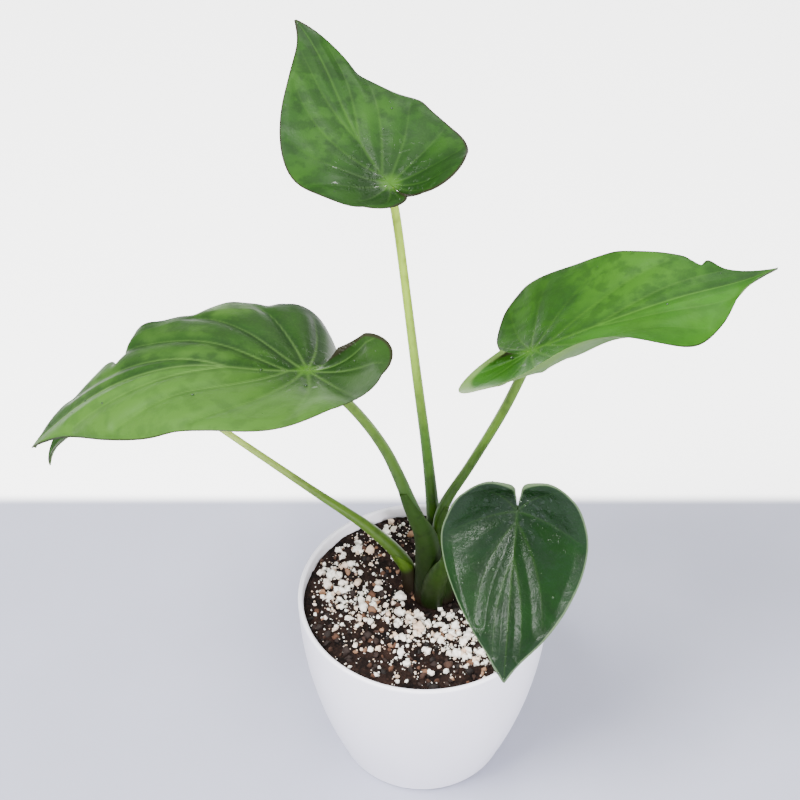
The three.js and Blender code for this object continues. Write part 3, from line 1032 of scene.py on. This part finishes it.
def vein_masks(blade, flat, along):
    """Veins, the hollows beside them (which get painted shade) and the keels below, and the way to
    the nearest vein.
    """
    from_midrib = flat[..., 1]
    share = np.clip(along, 0, 1)
    vein = band(from_midrib, MIDRIB["width"] - MIDRIB["loss"] * share)
    keel = band(from_midrib, MIDRIB["keel"]) * (1.0 - 0.6 * share)
    groove = band(from_midrib, MIDRIB["hollow"])
    nearest = from_midrib
    for line in blade.veins():
        gap, share = distance_to_line(flat, line)
        width = SIDE_VEIN["width"] - SIDE_VEIN["loss"] * share
        vein = np.maximum(vein, band(gap, width) * (1 - 0.6 * share))
        groove = np.maximum(groove, band(gap, SIDE_VEIN["hollow"]) * (1 - share))
        keel = np.maximum(keel, 0.5 * band(gap, SIDE_VEIN["keel"]) * (1 - 0.8 * share))
        nearest = np.minimum(nearest, gap)
    return vein, groove, keel, nearest


def both_faces(upper, lower):
    """One run of values for the points of the upper face, then those of the lower."""
    return np.concatenate([upper.ravel(), lower.ravel()])


def blade_mesh(leaf, thickness):
    """Points, faces and per-point masks of a whole blade with its veins and its edge."""
    blade = Blade(leaf)
    columns = 2 * BLADE_HALF_COLUMNS + 1
    count = BLADE_ROWS * columns
    u, across = np.meshgrid(
        np.linspace(0, 1, BLADE_ROWS), np.linspace(-1, 1, columns), indexing="ij"
    )
    points = blade.sheet(u, across)
    along, reach = blade.flat(u, across)
    flat = np.stack([along * leaf["length"], reach], -1)
    vein, groove, keel, nearest = vein_masks(blade, flat, along)
    from_hub = np.hypot(flat[..., 0], flat[..., 1])
    margin = 1 - np.abs(across)
    bulge = 1 - band(nearest, leaf["pillow"])
    bulge = bulge * np.clip(from_hub / QUILT_START, 0, 1) * np.clip(margin * 6, 0, 1)
    normal = surface_normals(points)
    points = points + normal * (leaf["quilt"] * bulge - VEIN_DEPTH * vein)[..., None]
    normal = surface_normals(points)
    body = thickness * np.clip(np.minimum(margin * 12, (1 - u) * 40), 0.12, 1)
    keel = KEEL_HEIGHT * keel * np.clip(margin * 4, 0, 1)
    top = points + normal * (body / 2)[..., None]
    bottom = points - normal * (body / 2 + keel)[..., None]
    vertices = np.concatenate([top.reshape(-1, 3), bottom.reshape(-1, 3)])
    upper = [tuple(reversed(f)) for f in grid_faces(BLADE_ROWS, columns)]
    lower = grid_faces(BLADE_ROWS, columns, count)
    edge = sheet_edges(BLADE_ROWS, columns, count)
    # The upper face fills the left half of the unwrapped square, the lower face the right.
    over = 0.25 + 0.235 * np.sign(across) * reach / leaf["half_width"]
    flat_uv = np.stack([over, 0.02 + 0.96 * (along + 0.27) / 1.27], -1).reshape(-1, 2)
    uvs = np.concatenate([flat_uv, flat_uv + [0.5, 0]])
    zero = np.zeros_like(along)
    edge_gap = margin * between(OUTLINE_OUT, u) * leaf["half_width"]
    edge_mask = np.clip(1 - edge_gap / MARGIN_WIDTH, 0, 1)
    curl = np.clip((-across - 0.84) / 0.06, 0, 1) * np.clip((0.62 - u) / 0.1, 0, 1)
    # Which half a point is on: some finishes paint one half lit and the other in shade.
    left_half = (across > 0) * 1.0
    masks = {
        "vein": (vein, vein * 0.9),
        # Where painted shade goes, in the hollows beside the veins.
        "groove": (groove * (1 - vein), zero),
        "margin": (edge_mask, edge_mask),
        "hub": (from_hub, from_hub),
        "under": (zero, zero + 1),
        # bulge: the raised quilting, which the finish also paints lighter as painted light.
        "bulge": (bulge, zero),
        "curl": (curl, curl),
        "ear": (np.clip(-along / 0.07, 0, 1), zero),
        "half": (left_half, left_half),
    }
    attributes = {name: both_faces(*mask) for name, mask in masks.items()}
    return vertices, upper + lower + edge, attributes, uvs


def blade_finish(settings, name, look):
    """Leaf colour: soft patches, fine veins, a wet dark zone at the hub, a pale underside,
    and painted light and shade: lit and shaded halves, shade beside the veins, light on the
    quilting.
    """
    finish = Finish(name)
    vein = finish.attribute("vein")
    edge = finish.attribute("margin")
    hub = finish.attribute("hub")
    under = finish.attribute("under")
    bulge = finish.attribute("bulge")
    groove = finish.attribute("groove")
    half = finish.attribute("half")
    patches = finish.noise(34.0, 3.0, 0.55)
    spots = finish.noise(150.0, 3.0, 0.55)
    mottle = finish.noise(150.0, 5.0, 0.62)
    grain = finish.noise(900.0, 3.0, 0.6)
    # Painted light and shade: on some blades one half is given a lighter (lit) shade and the other
    # a darker (shaded) one.
    main = finish.mix(half, look["right"], look["left"])
    tone = finish.mix(finish.span(patches, 0.40, 0.66) * 0.8, main, look["light"])
    # Dark blotches are mottling; weighted more on one half, they also add painted shade to the far
    # half.
    first, second = look["blotch"]
    blotches = finish.span(spots, 0.44, 0.62)
    tone = finish.mix(blotches * (second + (first - second) * half), tone, look["deep"])
    tone = finish.mix(finish.span(grain, 0.45, 0.8) * 0.18, tone, look["light"])
    near_hub = finish.span(hub + 26.0 * mottle, 42.0, 20.0)
    wetness = (near_hub * look["wet"]).clamp()
    tone = finish.mix(finish.attribute("ear") * look["ear"], tone, look["deep"])
    tone = finish.mix(wetness * 0.75, tone, look["deep"])
    # Painted shade in the hollows beside the veins.
    tone = finish.mix(groove * look["groove"], tone, look["deep"])
    # Painted light on the raised quilting between the veins.
    tone = finish.mix(bulge * 0.15, tone, look["light"])
    tone = finish.mix((vein * look["vein"]).clamp(), tone, look["rib"])
    star = finish.span(hub, 6.0, 1.5)
    tone = finish.mix(star * look["star"], tone, (0.038, 0.115, 0.005))
    tone = finish.mix(finish.span(edge, 0.15, 0.6) * 0.85, tone, look["rim"])
    pale = finish.mix(finish.span(mottle, 0.4, 0.7) * 0.35, tuple(settings.under), look["light"])
    pale = finish.mix(vein * 0.6, pale, (0.18, 0.28, 0.09))
    pale = finish.mix(finish.span(edge, 0.3, 0.8) * 0.6, pale, look["rim"])
    tone = finish.mix(under, tone, pale)
    curl = finish.attribute("curl")
    tone = finish.mix(curl * look["curl"], tone, (0.12, 0.21, 0.05))
    skin = finish.cells(1300.0)
    fine = finish.bump(skin, 0.10, 0.00015)
    ripple = finish.bump(mottle, look["ripple"], 0.0009, fine)
    drops = finish.noise(380.0, 2.0, 0.5)
    film = finish.span(drops, 0.57, 0.62) * wetness
    broken = finish.bump(film, 0.5, 0.0007, ripple)
    rough = look["matt"] + 0.16 * mottle + 0.2 * under - 0.1 * wetness
    finish.set(
        Base_Color=tone,
        Roughness=rough.clamp(),
        Coat_Weight=(film * 0.5).clamp(),
        Normal=broken,
        Coat_Roughness=0.08,
        IOR=1.42,
        Specular_IOR_Level=look["shine"],
    )
    return finish.material


def blade_looks(settings):
    """How each blade looks.

    left, right: the shades of its halves, which on some blades are a painted lit near half and a
    painted shaded far half; light, deep: of its patches; rim, rib: of its edge and veins. The rest
    is how strong a trait is: blotch (dark spots on the left and right half: mottling, and where the
    two differ also painted shade on the far half), wet (round the hub), groove (painted shade
    beside the veins), vein, star (at the hub), curl (a pale curled margin), ear (darker lobes),
    shine and matt (gloss), ripple (fine relief).
    """
    green, light, deep = (tuple(c) for c in (settings.green, settings.light, settings.deep))
    dark = tuple(settings.dark)
    plain = {
        "left": green,
        "right": green,
        "light": light,
        "deep": deep,
        "blotch": (0.65, 0.65),
        "wet": 0.9,
        "groove": 0.4,
        "vein": 0.2,
        "star": 0.7,
        "curl": 0.0,
        "ear": 0.15,
        "rib": tuple(settings.vein),
        "rim": (0.014, 0.010, 0.005),
        "shine": 0.25,
        "matt": 0.38,
        "ripple": 0.35,
    }
    return {
        "top": plain,
        "low_left": plain | {"wet": 0.2},
        "right": plain | {
            # Painted light and shade: the near (right) half lit and lighter, the far (left) half
            # shaded and more blotched.
            "left": (0.009, 0.046, 0.0018),
            "right": (0.022, 0.105, 0.0035),
            "light": (0.030, 0.110, 0.005),
            "deep": (0.005, 0.026, 0.001),
            "blotch": (0.55, 0.2),
            "vein": 0.35,
            "wet": 0.65,
            "star": 0.3,
            "curl": 0.8,
        },
        "left": plain | {
            # Painted light and shade: the near (left) half lit and lighter, the far (right) half
            # shaded and more blotched.
            "left": (0.040, 0.108, 0.013),
            "right": (0.006, 0.030, 0.0015),
            "light": (0.040, 0.105, 0.012),
            "blotch": (0.25, 0.6),
            "vein": 0.4,
            "rib": (0.115, 0.230, 0.050),
            "ear": 0.75,
            "deep": (0.004, 0.019, 0.0015),
        },
        "front": plain | {
            "left": dark,
            "right": dark,
            "light": scaled(dark, 1.5),
            "deep": scaled(dark, 0.5),
            "wet": 0.7,
            "blotch": (0.4, 0.4),
            "groove": 0.15,
            "vein": 0.12,
            "matt": 0.28,
            "ripple": 0.7,
            "star": 0.0,
            "rim": (0.10, 0.15, 0.075),
            "shine": 0.30,
        },
    }


def bead_mesh(vertices, faces, count, rng):
    """Drops of water on the upper face of a blade: flattened balls set on its points."""
    corners = np.array([vertices[list(f)[:3]] for f in faces])
    normals = np.cross(corners[:, 1] - corners[:, 0], corners[:, 2] - corners[:, 0])
    normals /= np.linalg.norm(normals, axis=1, keepdims=True) + 1e-9
    ball, ball_faces = unit_ball(2)
    ball = np.array(ball)
    points = []
    bead_faces = []
    for place in rng.integers(0, len(faces), count):
        radius = min(0.7, 0.15 * rng.lognormal(0.6, 0.6))
        normal = normals[place]
        flat = ball - 0.4 * (ball @ normal)[:, None] * normal
        start = len(points) * len(ball)
        points.append(corners[place][0] + radius * (flat + 0.2 * normal))
        bead_faces += [tuple(start + k for k in f) for f in ball_faces]
    return np.concatenate(points), bead_faces


def bead_finish():
    """Clear water: it takes the leaf's green and throws back a sharp glint."""
    finish = Finish("water_bead")
    cloud = finish.noise(600.0, 2.0)
    tone = finish.mix(cloud, (0.008, 0.026, 0.006), (0.03, 0.06, 0.025))
    finish.set(Base_Color=tone, Roughness=0.04 + 0.03 * cloud, IOR=1.33, Specular_IOR_Level=0.9)
    return finish.material


class PLANT_OT_blades(bpy.types.Operator):
    """Shape the blades with their veins"""

    bl_idname = "plant.blades"
    bl_label = "Blades"

    def execute(self, context):
        settings = context.scene.plant_leaf
        looks = blade_looks(settings)
        rng = np.random.default_rng(11)
        for name, leaf in LEAVES.items():
            vertices, faces, attributes, uvs = blade_mesh(leaf, settings.thickness / MM)
            finish = blade_finish(settings, "leaf_" + name, looks[name])
            add_object(
                "leaf_" + name, vertices, faces, finish, ["blade_" + name], attributes, uvs
            )
            if leaf["beads"]:
                upper = faces[: (BLADE_ROWS - 1) * 2 * BLADE_HALF_COLUMNS]
                points, bead_faces = bead_mesh(vertices, upper, leaf["beads"], rng)
                add_object("beads_" + name, points, bead_faces, bead_finish())
        return {"FINISHED"}


# ---------------------------------------------------------------- petioles and crown


# How far under the blade a petiole ends; the sheath's gap to its petiole, its thickness and
# the ripple of its edges; and how finely petioles and sheaths are divided.
HUB_GAP = 1.2
SHEATH_GAP = 0.12
SHEATH_THICKNESS = 0.75
SHEATH_RIPPLE = 0.25
PETIOLE_SIDES = 28
PETIOLE_STEPS = 110
SHEATH_ROWS = 90
SHEATH_HALF_COLUMNS = 24
CURVE_STEPS = 24


def smooth_path(points, steps):
    """Evenly spaced points on a smooth curve through the given points."""
    points = np.array(points, dtype=float)
    stretched = [points[0] * 2 - points[1], *points, points[-1] * 2 - points[-2]]
    dense = []
    for i in range(1, len(stretched) - 2):
        p0, p1, p2, p3 = (stretched[i + k] for k in (-1, 0, 1, 2))
        for t in np.linspace(0, 1, CURVE_STEPS, endpoint=False):
            dense.append(
                0.5 * (2 * p1 + (p2 - p0) * t + (2 * p0 - 5 * p1 + 4 * p2 - p3) * t**2
                       + (3 * p1 - p0 - 3 * p2 + p3) * t**3)
            )
    dense.append(points[-1])
    dense = np.array(dense)
    run = np.concatenate([[0], np.cumsum(np.linalg.norm(np.diff(dense, axis=0), axis=1))])
    even = np.linspace(0, run[-1], steps)
    return np.stack([np.interp(even, run, dense[:, k]) for k in range(3)], 1)


def path_frames(path, sideways):
    """Directions along the path, and two across it that don't twist."""
    tangent = np.gradient(path, axis=0)
    tangent /= np.linalg.norm(tangent, axis=1, keepdims=True)
    across = np.empty_like(path)
    across[0] = sideways - tangent[0] * (sideways @ tangent[0])
    across[0] /= np.linalg.norm(across[0])
    for i in range(1, len(path)):
        step = across[i - 1] - tangent[i] * (across[i - 1] @ tangent[i])
        across[i] = step / np.linalg.norm(step)
    return tangent, across, np.cross(tangent, across)


def petiole_finish(name, colours):
    """A smooth stalk that changes colour from its foot to its neck."""
    finish = Finish(name)
    along = finish.attribute("along")
    streak = finish.noise(220.0, 3.0)
    ramp = finish.node(
        "ShaderNodeValToRGB",
        {"stops": [(0.0, colours[0]), (0.45, colours[1]), (1.0, colours[2])]},
        {"Fac": along},
    )
    dark = scaled(colours[0], 0.7)
    tone = finish.mix(finish.span(streak, 0.45, 0.8) * 0.4, ramp.outputs["Color"], dark)
    lines = finish.bump(finish.noise(900.0, 2.0), 0.15, 0.0003)
    finish.set(Base_Color=tone, Roughness=0.42 + 0.1 * streak, Normal=lines, IOR=1.42)
    return finish.material


class PLANT_OT_petioles(bpy.types.Operator):
    """Sweep the petioles from the crown to the blades"""

    bl_idname = "plant.petioles"
    bl_label = "Petioles"

    def execute(self, context):
        sides = PETIOLE_SIDES
        steps = PETIOLE_STEPS
        for name, leaf in LEAVES.items():
            hub = np.array(leaf["hub"], dtype=float) - HUB_GAP * Blade(leaf).up[0]
            points = [np.array(p, dtype=float) for p in leaf["petiole"]] + [hub]
            path = smooth_path(points, steps) + LEAF_ORIGIN
            tangent, across, other = path_frames(path, np.array([1.0, 0, 0]))
            t = np.linspace(0, 1, steps)
            radius = between(leaf["radii"], t)
            turn = np.linspace(0, 2 * math.pi, sides, endpoint=False)
            vertices = []
            for i in range(steps):
                ring = np.cos(turn)[:, None] * across[i] + np.sin(turn)[:, None] * other[i]
                vertices.append(path[i] + ring * radius[i])
            cap = len(vertices) * sides
            vertices = np.concatenate(vertices + [path[:1], path[-1:]])
            faces = grid_faces(steps, sides, closed=True)
            for j in range(sides):
                k = (j + 1) % sides
                faces.append((k, j, cap))
                top = (steps - 1) * sides
                faces.append((top + j, top + k, cap + 1))
            along = np.concatenate([np.repeat(t, sides), [0, 1]])
            finish = petiole_finish("stalk_" + name, leaf["petiole_colours"])
            add_object(
                "stalk_" + name, vertices, faces, finish,
                ["petiole_" + name], {"along": along},
            )
        return {"FINISHED"}


def sheath_mesh(leaf):
    """The open sleeve at a petiole's foot: its two edges stand free and run out upwards."""
    height, facing, spans, extras = leaf["sheath"]
    hub = np.array(leaf["hub"], dtype=float)
    points = [np.array(p, dtype=float) for p in leaf["petiole"]] + [hub]
    path = smooth_path(points, 400)
    run = np.concatenate([[0], np.cumsum(np.linalg.norm(np.diff(path, axis=0), axis=1))])
    rows = SHEATH_ROWS
    columns = 2 * SHEATH_HALF_COLUMNS + 1
    count = rows * columns
    share = np.linspace(0, 1, rows)
    reach = share * height
    path_t = reach / run[-1]
    centre = np.stack([np.interp(reach, run, path[:, k]) for k in range(3)], 1) + LEAF_ORIGIN
    tangent = np.gradient(centre, axis=0)
    tangent /= np.linalg.norm(tangent, axis=1, keepdims=True)
    back = np.array([facing[0], facing[1], 0.0])
    back = back - tangent * (tangent @ back)[:, None]
    back /= np.linalg.norm(back, axis=1, keepdims=True)
    right = np.cross(tangent, back)
    radius = between(leaf["radii"], path_t) + SHEATH_GAP
    taper = np.clip((1 - share) / 0.75, 0, 1) ** 1.15
    closing = 0.35 + 0.65 * np.clip((1 - share) / 0.45, 0, 1) ** 0.8
    across = np.linspace(-1, 1, columns)
    outer = np.empty((rows, columns, 3))
    inner = np.empty_like(outer)
    for j, place in enumerate(across):
        side = 0 if place < 0 else 1
        turn = np.radians(place * spans[side] * closing)
        out = abs(place)
        ripple = SHEATH_RIPPLE * np.sin(share * 17 + 2.0 * side) * out**4 * taper
        wide = radius + extras[side] * taper * out**1.6 + ripple
        direction = back * np.cos(turn)[:, None] + right * np.sin(turn)[:, None]
        thick = SHEATH_THICKNESS - 0.5 * out**3
        outer[:, j] = centre + direction * (wide + thick / 2)[:, None]
        inner[:, j] = centre + direction * (wide - thick / 2)[:, None]
    vertices = np.concatenate([outer.reshape(-1, 3), inner.reshape(-1, 3)])
    faces = grid_faces(rows, columns)
    faces += [tuple(reversed(f)) for f in grid_faces(rows, columns, count)]
    faces += sheet_edges(rows, columns, count, flip=True)
    along = np.tile(np.repeat(share, columns), 2)
    edge = np.tile(np.tile(np.abs(across), rows), 2)
    return vertices, faces, {"along": along, "edge": edge}


class PLANT_OT_sheaths(bpy.types.Operator):
    """Wrap the sheaths round the petioles' feet"""

    bl_idname = "plant.sheaths"
    bl_label = "Sheaths"

    def execute(self, context):
        for name, leaf in LEAVES.items():
            vertices, faces, attributes = sheath_mesh(leaf)
            stain_and_shade_height = leaf["stain_and_shade_height"] / leaf["sheath"][0]
            finish = sheath_finish("sheath_" + name, leaf["petiole_colours"], stain_and_shade_height)
            add_object(
                "sheath_" + name, vertices, faces, finish, (), attributes
            )
        return {"FINISHED"}


def sheath_finish(name, colours, stain_and_shade_height):
    """A streaked sleeve with paler edges, dark brown at its foot as far up as the given share:
    partly a stain from the mix, partly painted shadow where it meets the mix.
    """
    finish = Finish(name)
    along = finish.attribute("along")
    edge = finish.attribute("edge")
    streak = finish.noise(240.0, 4.0)
    foot = scaled(colours[0], 0.55)
    tone = finish.mix(finish.span(along, 0.1, 1.0), foot, scaled(colours[1], 0.6))
    tone = finish.mix(finish.span(streak, 0.45, 0.75) * 0.45, tone, scaled(foot, 0.5))
    tone = finish.mix(finish.span(edge, 0.88, 1.0) * 0.6, tone, (0.026, 0.060, 0.003))
    # Dark brown at the foot: partly a stain from the mix, partly painted shadow where the sheath
    # meets the mix.
    stain_and_shade = finish.span(along + 0.12 * streak, stain_and_shade_height + 0.14, stain_and_shade_height)
    tone = finish.mix(stain_and_shade * 0.9, tone, (0.010, 0.005, 0.003))
    lines = finish.bump(streak, 0.3, 0.0005)
    finish.set(
        Base_Color=tone,
        Roughness=0.45 + 0.15 * streak,
        Normal=lines,
        IOR=1.42,
        Specular_IOR_Level=0.25,
    )
    return finish.material


class PLANT_OT_crown(bpy.types.Operator):
    """Shape the short stem"""

    bl_idname = "plant.crown"
    bl_label = "Crown"

    def execute(self, context):
        profile = []
        top = CROWN_BOX[1][2] / MM
        bottom = CROWN_BOX[0][2] / MM
        full = (CROWN_BOX[1][0] - CROWN_BOX[0][0]) / 2 / MM
        for t in np.linspace(0, 1, 40):
            radius = full * math.sqrt(max(1 - max((t - 0.6) / 0.4, 0) ** 2, 0.0001))
            profile.append((radius * (1 - 0.04 * math.sin(40 * t)), bottom + (top - bottom) * t))
        profile = [(0.02, bottom)] + profile
        points, faces = turned(profile, 48)
        points[:, 0] += CROWN_X
        points[:, 1] += CROWN_Y
        shades = ((0.05, 0.06, 0.012), (0.05, 0.09, 0.012), (0.06, 0.11, 0.015))
        finish = petiole_finish("crown_skin", shades)
        heights = (points[:, 2] - bottom) / (top - bottom)
        attributes = {"along": heights}
        add_object("crown_stem", points, faces, finish, ["crown"], attributes)
        return {"FINISHED"}


# ---------------------------------------------------------------- stage


# The lamps: name, place in metres, width in metres, power in watts.
LIGHTS = (
    ("key_light", (-0.45, -0.35, 1.1), 0.55, 34.0),
    ("front_light", (0.15, -1.3, 0.5), 0.2, 20.0),
    ("fill_light", (1.1, -0.5, 0.5), 0.8, 9.0),
    ("back_light", (0.25, 1.0, 1.15), 0.16, 3.0),
)
LIGHT_TARGET = (0, 0, 0.15)

# The floor: its half side, and how far behind the pot, in metres, it turns bright.
FLOOR_SIDE = 3000.0
BACKDROP_START = 0.146
BACKDROP_END = 0.156
BACKDROP_GLOW = 2.4

# The camera: its place in metres, its lens and sensor, and how far it looks down.
CAMERA_PLACE = (-0.0103, -0.4414, 0.5855)
CAMERA_LENS = 67.5
CAMERA_SENSOR = 36.0
CAMERA_DOWN = 40.9


class PLANT_OT_stage(bpy.types.Operator):
    """Set the floor, the light and the camera"""

    bl_idname = "plant.stage"
    bl_label = "Stage"

    def execute(self, context):
        settings = context.scene.plant_stage
        finish = Finish("floor_pale")
        split = finish.node("ShaderNodeSeparateXYZ", {}, {"Vector": finish.place()})
        depth = Value(finish, split.outputs["Y"])
        cloud = finish.noise(9.0, 4.0, 0.6)
        near = tuple(settings.floor_colour)
        tone = finish.mix(
            finish.span(cloud, 0.35, 0.7) * 0.35, near, tuple(min(1, 1.15 * c) for c in near)
        )
        beyond = finish.span(depth, BACKDROP_START, BACKDROP_END)
        tone = finish.mix(beyond, tone, tuple(settings.backdrop_colour))
        glow = finish.mix(beyond, (0, 0, 0), (1, 1, 1))
        finish.set(
            Base_Color=tone,
            Roughness=0.6,
            Emission_Color=glow,
            Emission_Strength=BACKDROP_GLOW,
        )
        side = FLOOR_SIDE
        vertices = [(-side, -side, 0), (side, -side, 0), (side, side, 0), (-side, side, 0)]
        mesh = bpy.data.meshes.new("floor")
        mesh.from_pydata([tuple(c * MM for c in v) for v in vertices], [], [(0, 1, 2, 3)])
        mesh.materials.append(finish.material)
        floor = bpy.data.objects.new("floor", mesh)
        context.scene.collection.objects.link(floor)
        add_sky(context.scene, settings.light)
        for light in LIGHTS:
            add_area_light(*light)
        add_camera(context.scene)
        return {"FINISHED"}


def add_sky(scene, strength):
    """A soft sky that is brightest overhead and dim near the horizon."""
    world = bpy.data.worlds.new("studio")
    world.use_nodes = True
    scene.world = world
    sky = Nodes(world.node_tree)
    background = world.node_tree.nodes["Background"]
    direction = sky.node("ShaderNodeTexCoord", {}, {}).outputs["Generated"]
    height = Value(sky, sky.node("ShaderNodeSeparateXYZ", {}, {0: direction}).outputs["Z"])
    sky.plug(background.inputs["Color"], (1, 1, 1))
    sky.plug(background.inputs["Strength"], strength * (0.35 + 1.35 * sky.span(height, 0.55, 1.0)))


def add_area_light(name, place, size, power):
    """A round lamp that faces the plant."""
    lamp = bpy.data.lights.new(name, "AREA")
    lamp.shape = "DISK"
    lamp.size = size
    lamp.energy = power
    item = bpy.data.objects.new(name, lamp)
    item.location = place
    aim = Vector(LIGHT_TARGET) - Vector(place)
    item.rotation_euler = aim.to_track_quat("-Z", "Y").to_euler()
    bpy.context.scene.collection.objects.link(item)


def add_camera(scene):
    """The camera that looks down on the plant from the front."""
    lens = bpy.data.cameras.new("camera")
    lens.lens = CAMERA_LENS
    lens.sensor_width = CAMERA_SENSOR
    lens.clip_start = 0.01
    camera = bpy.data.objects.new("camera", lens)
    camera.location = CAMERA_PLACE
    camera.rotation_euler = (math.radians(90 - CAMERA_DOWN), 0, 0)
    scene.collection.objects.link(camera)
    scene.camera = camera


# ---------------------------------------------------------------- panel


class PLANT_PT_panel(bpy.types.Panel):
    """Lists the pieces of the plant"""

    bl_idname = "PLANT_PT_panel"
    bl_label = "Potted aroid"
    bl_space_type = "VIEW_3D"
    bl_region_type = "UI"
    bl_category = "Plant"

    def draw(self, context):
        scene = context.scene
        for settings in (scene.plant_pot, scene.plant_mix, scene.plant_leaf, scene.plant_stage):
            box = self.layout.box()
            for key in settings.__annotations__:
                box.prop(settings, key)
        for operator in OPERATORS:
            self.layout.operator(operator.bl_idname)


SETTINGS = {
    "plant_pot": PotSettings,
    "plant_mix": MixSettings,
    "plant_leaf": LeafSettings,
    "plant_stage": StageSettings,
}
OPERATORS = (
    PLANT_OT_stage,
    PLANT_OT_pot,
    PLANT_OT_potting_mix,
    PLANT_OT_grains,
    PLANT_OT_crown,
    PLANT_OT_petioles,
    PLANT_OT_sheaths,
    PLANT_OT_blades,
)


def register():
    """Add the settings, the operators and the panel to Blender."""
    for group in SETTINGS.values():
        bpy.utils.register_class(group)
    for name, group in SETTINGS.items():
        setattr(bpy.types.Scene, name, bpy.props.PointerProperty(type=group))
    for item in (*OPERATORS, PLANT_PT_panel):
        bpy.utils.register_class(item)


def unregister():
    """Take out what register added."""
    for item in (*OPERATORS, PLANT_PT_panel):
        bpy.utils.unregister_class(item)
    for name, group in SETTINGS.items():
        delattr(bpy.types.Scene, name)
        bpy.utils.unregister_class(group)


def main():
    """Build every piece and the stage."""
    register()
    for operator in OPERATORS:
        group, name = operator.bl_idname.split(".")
        getattr(getattr(bpy.ops, group), name)()
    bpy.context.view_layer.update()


if __name__ == "__main__":
    main()
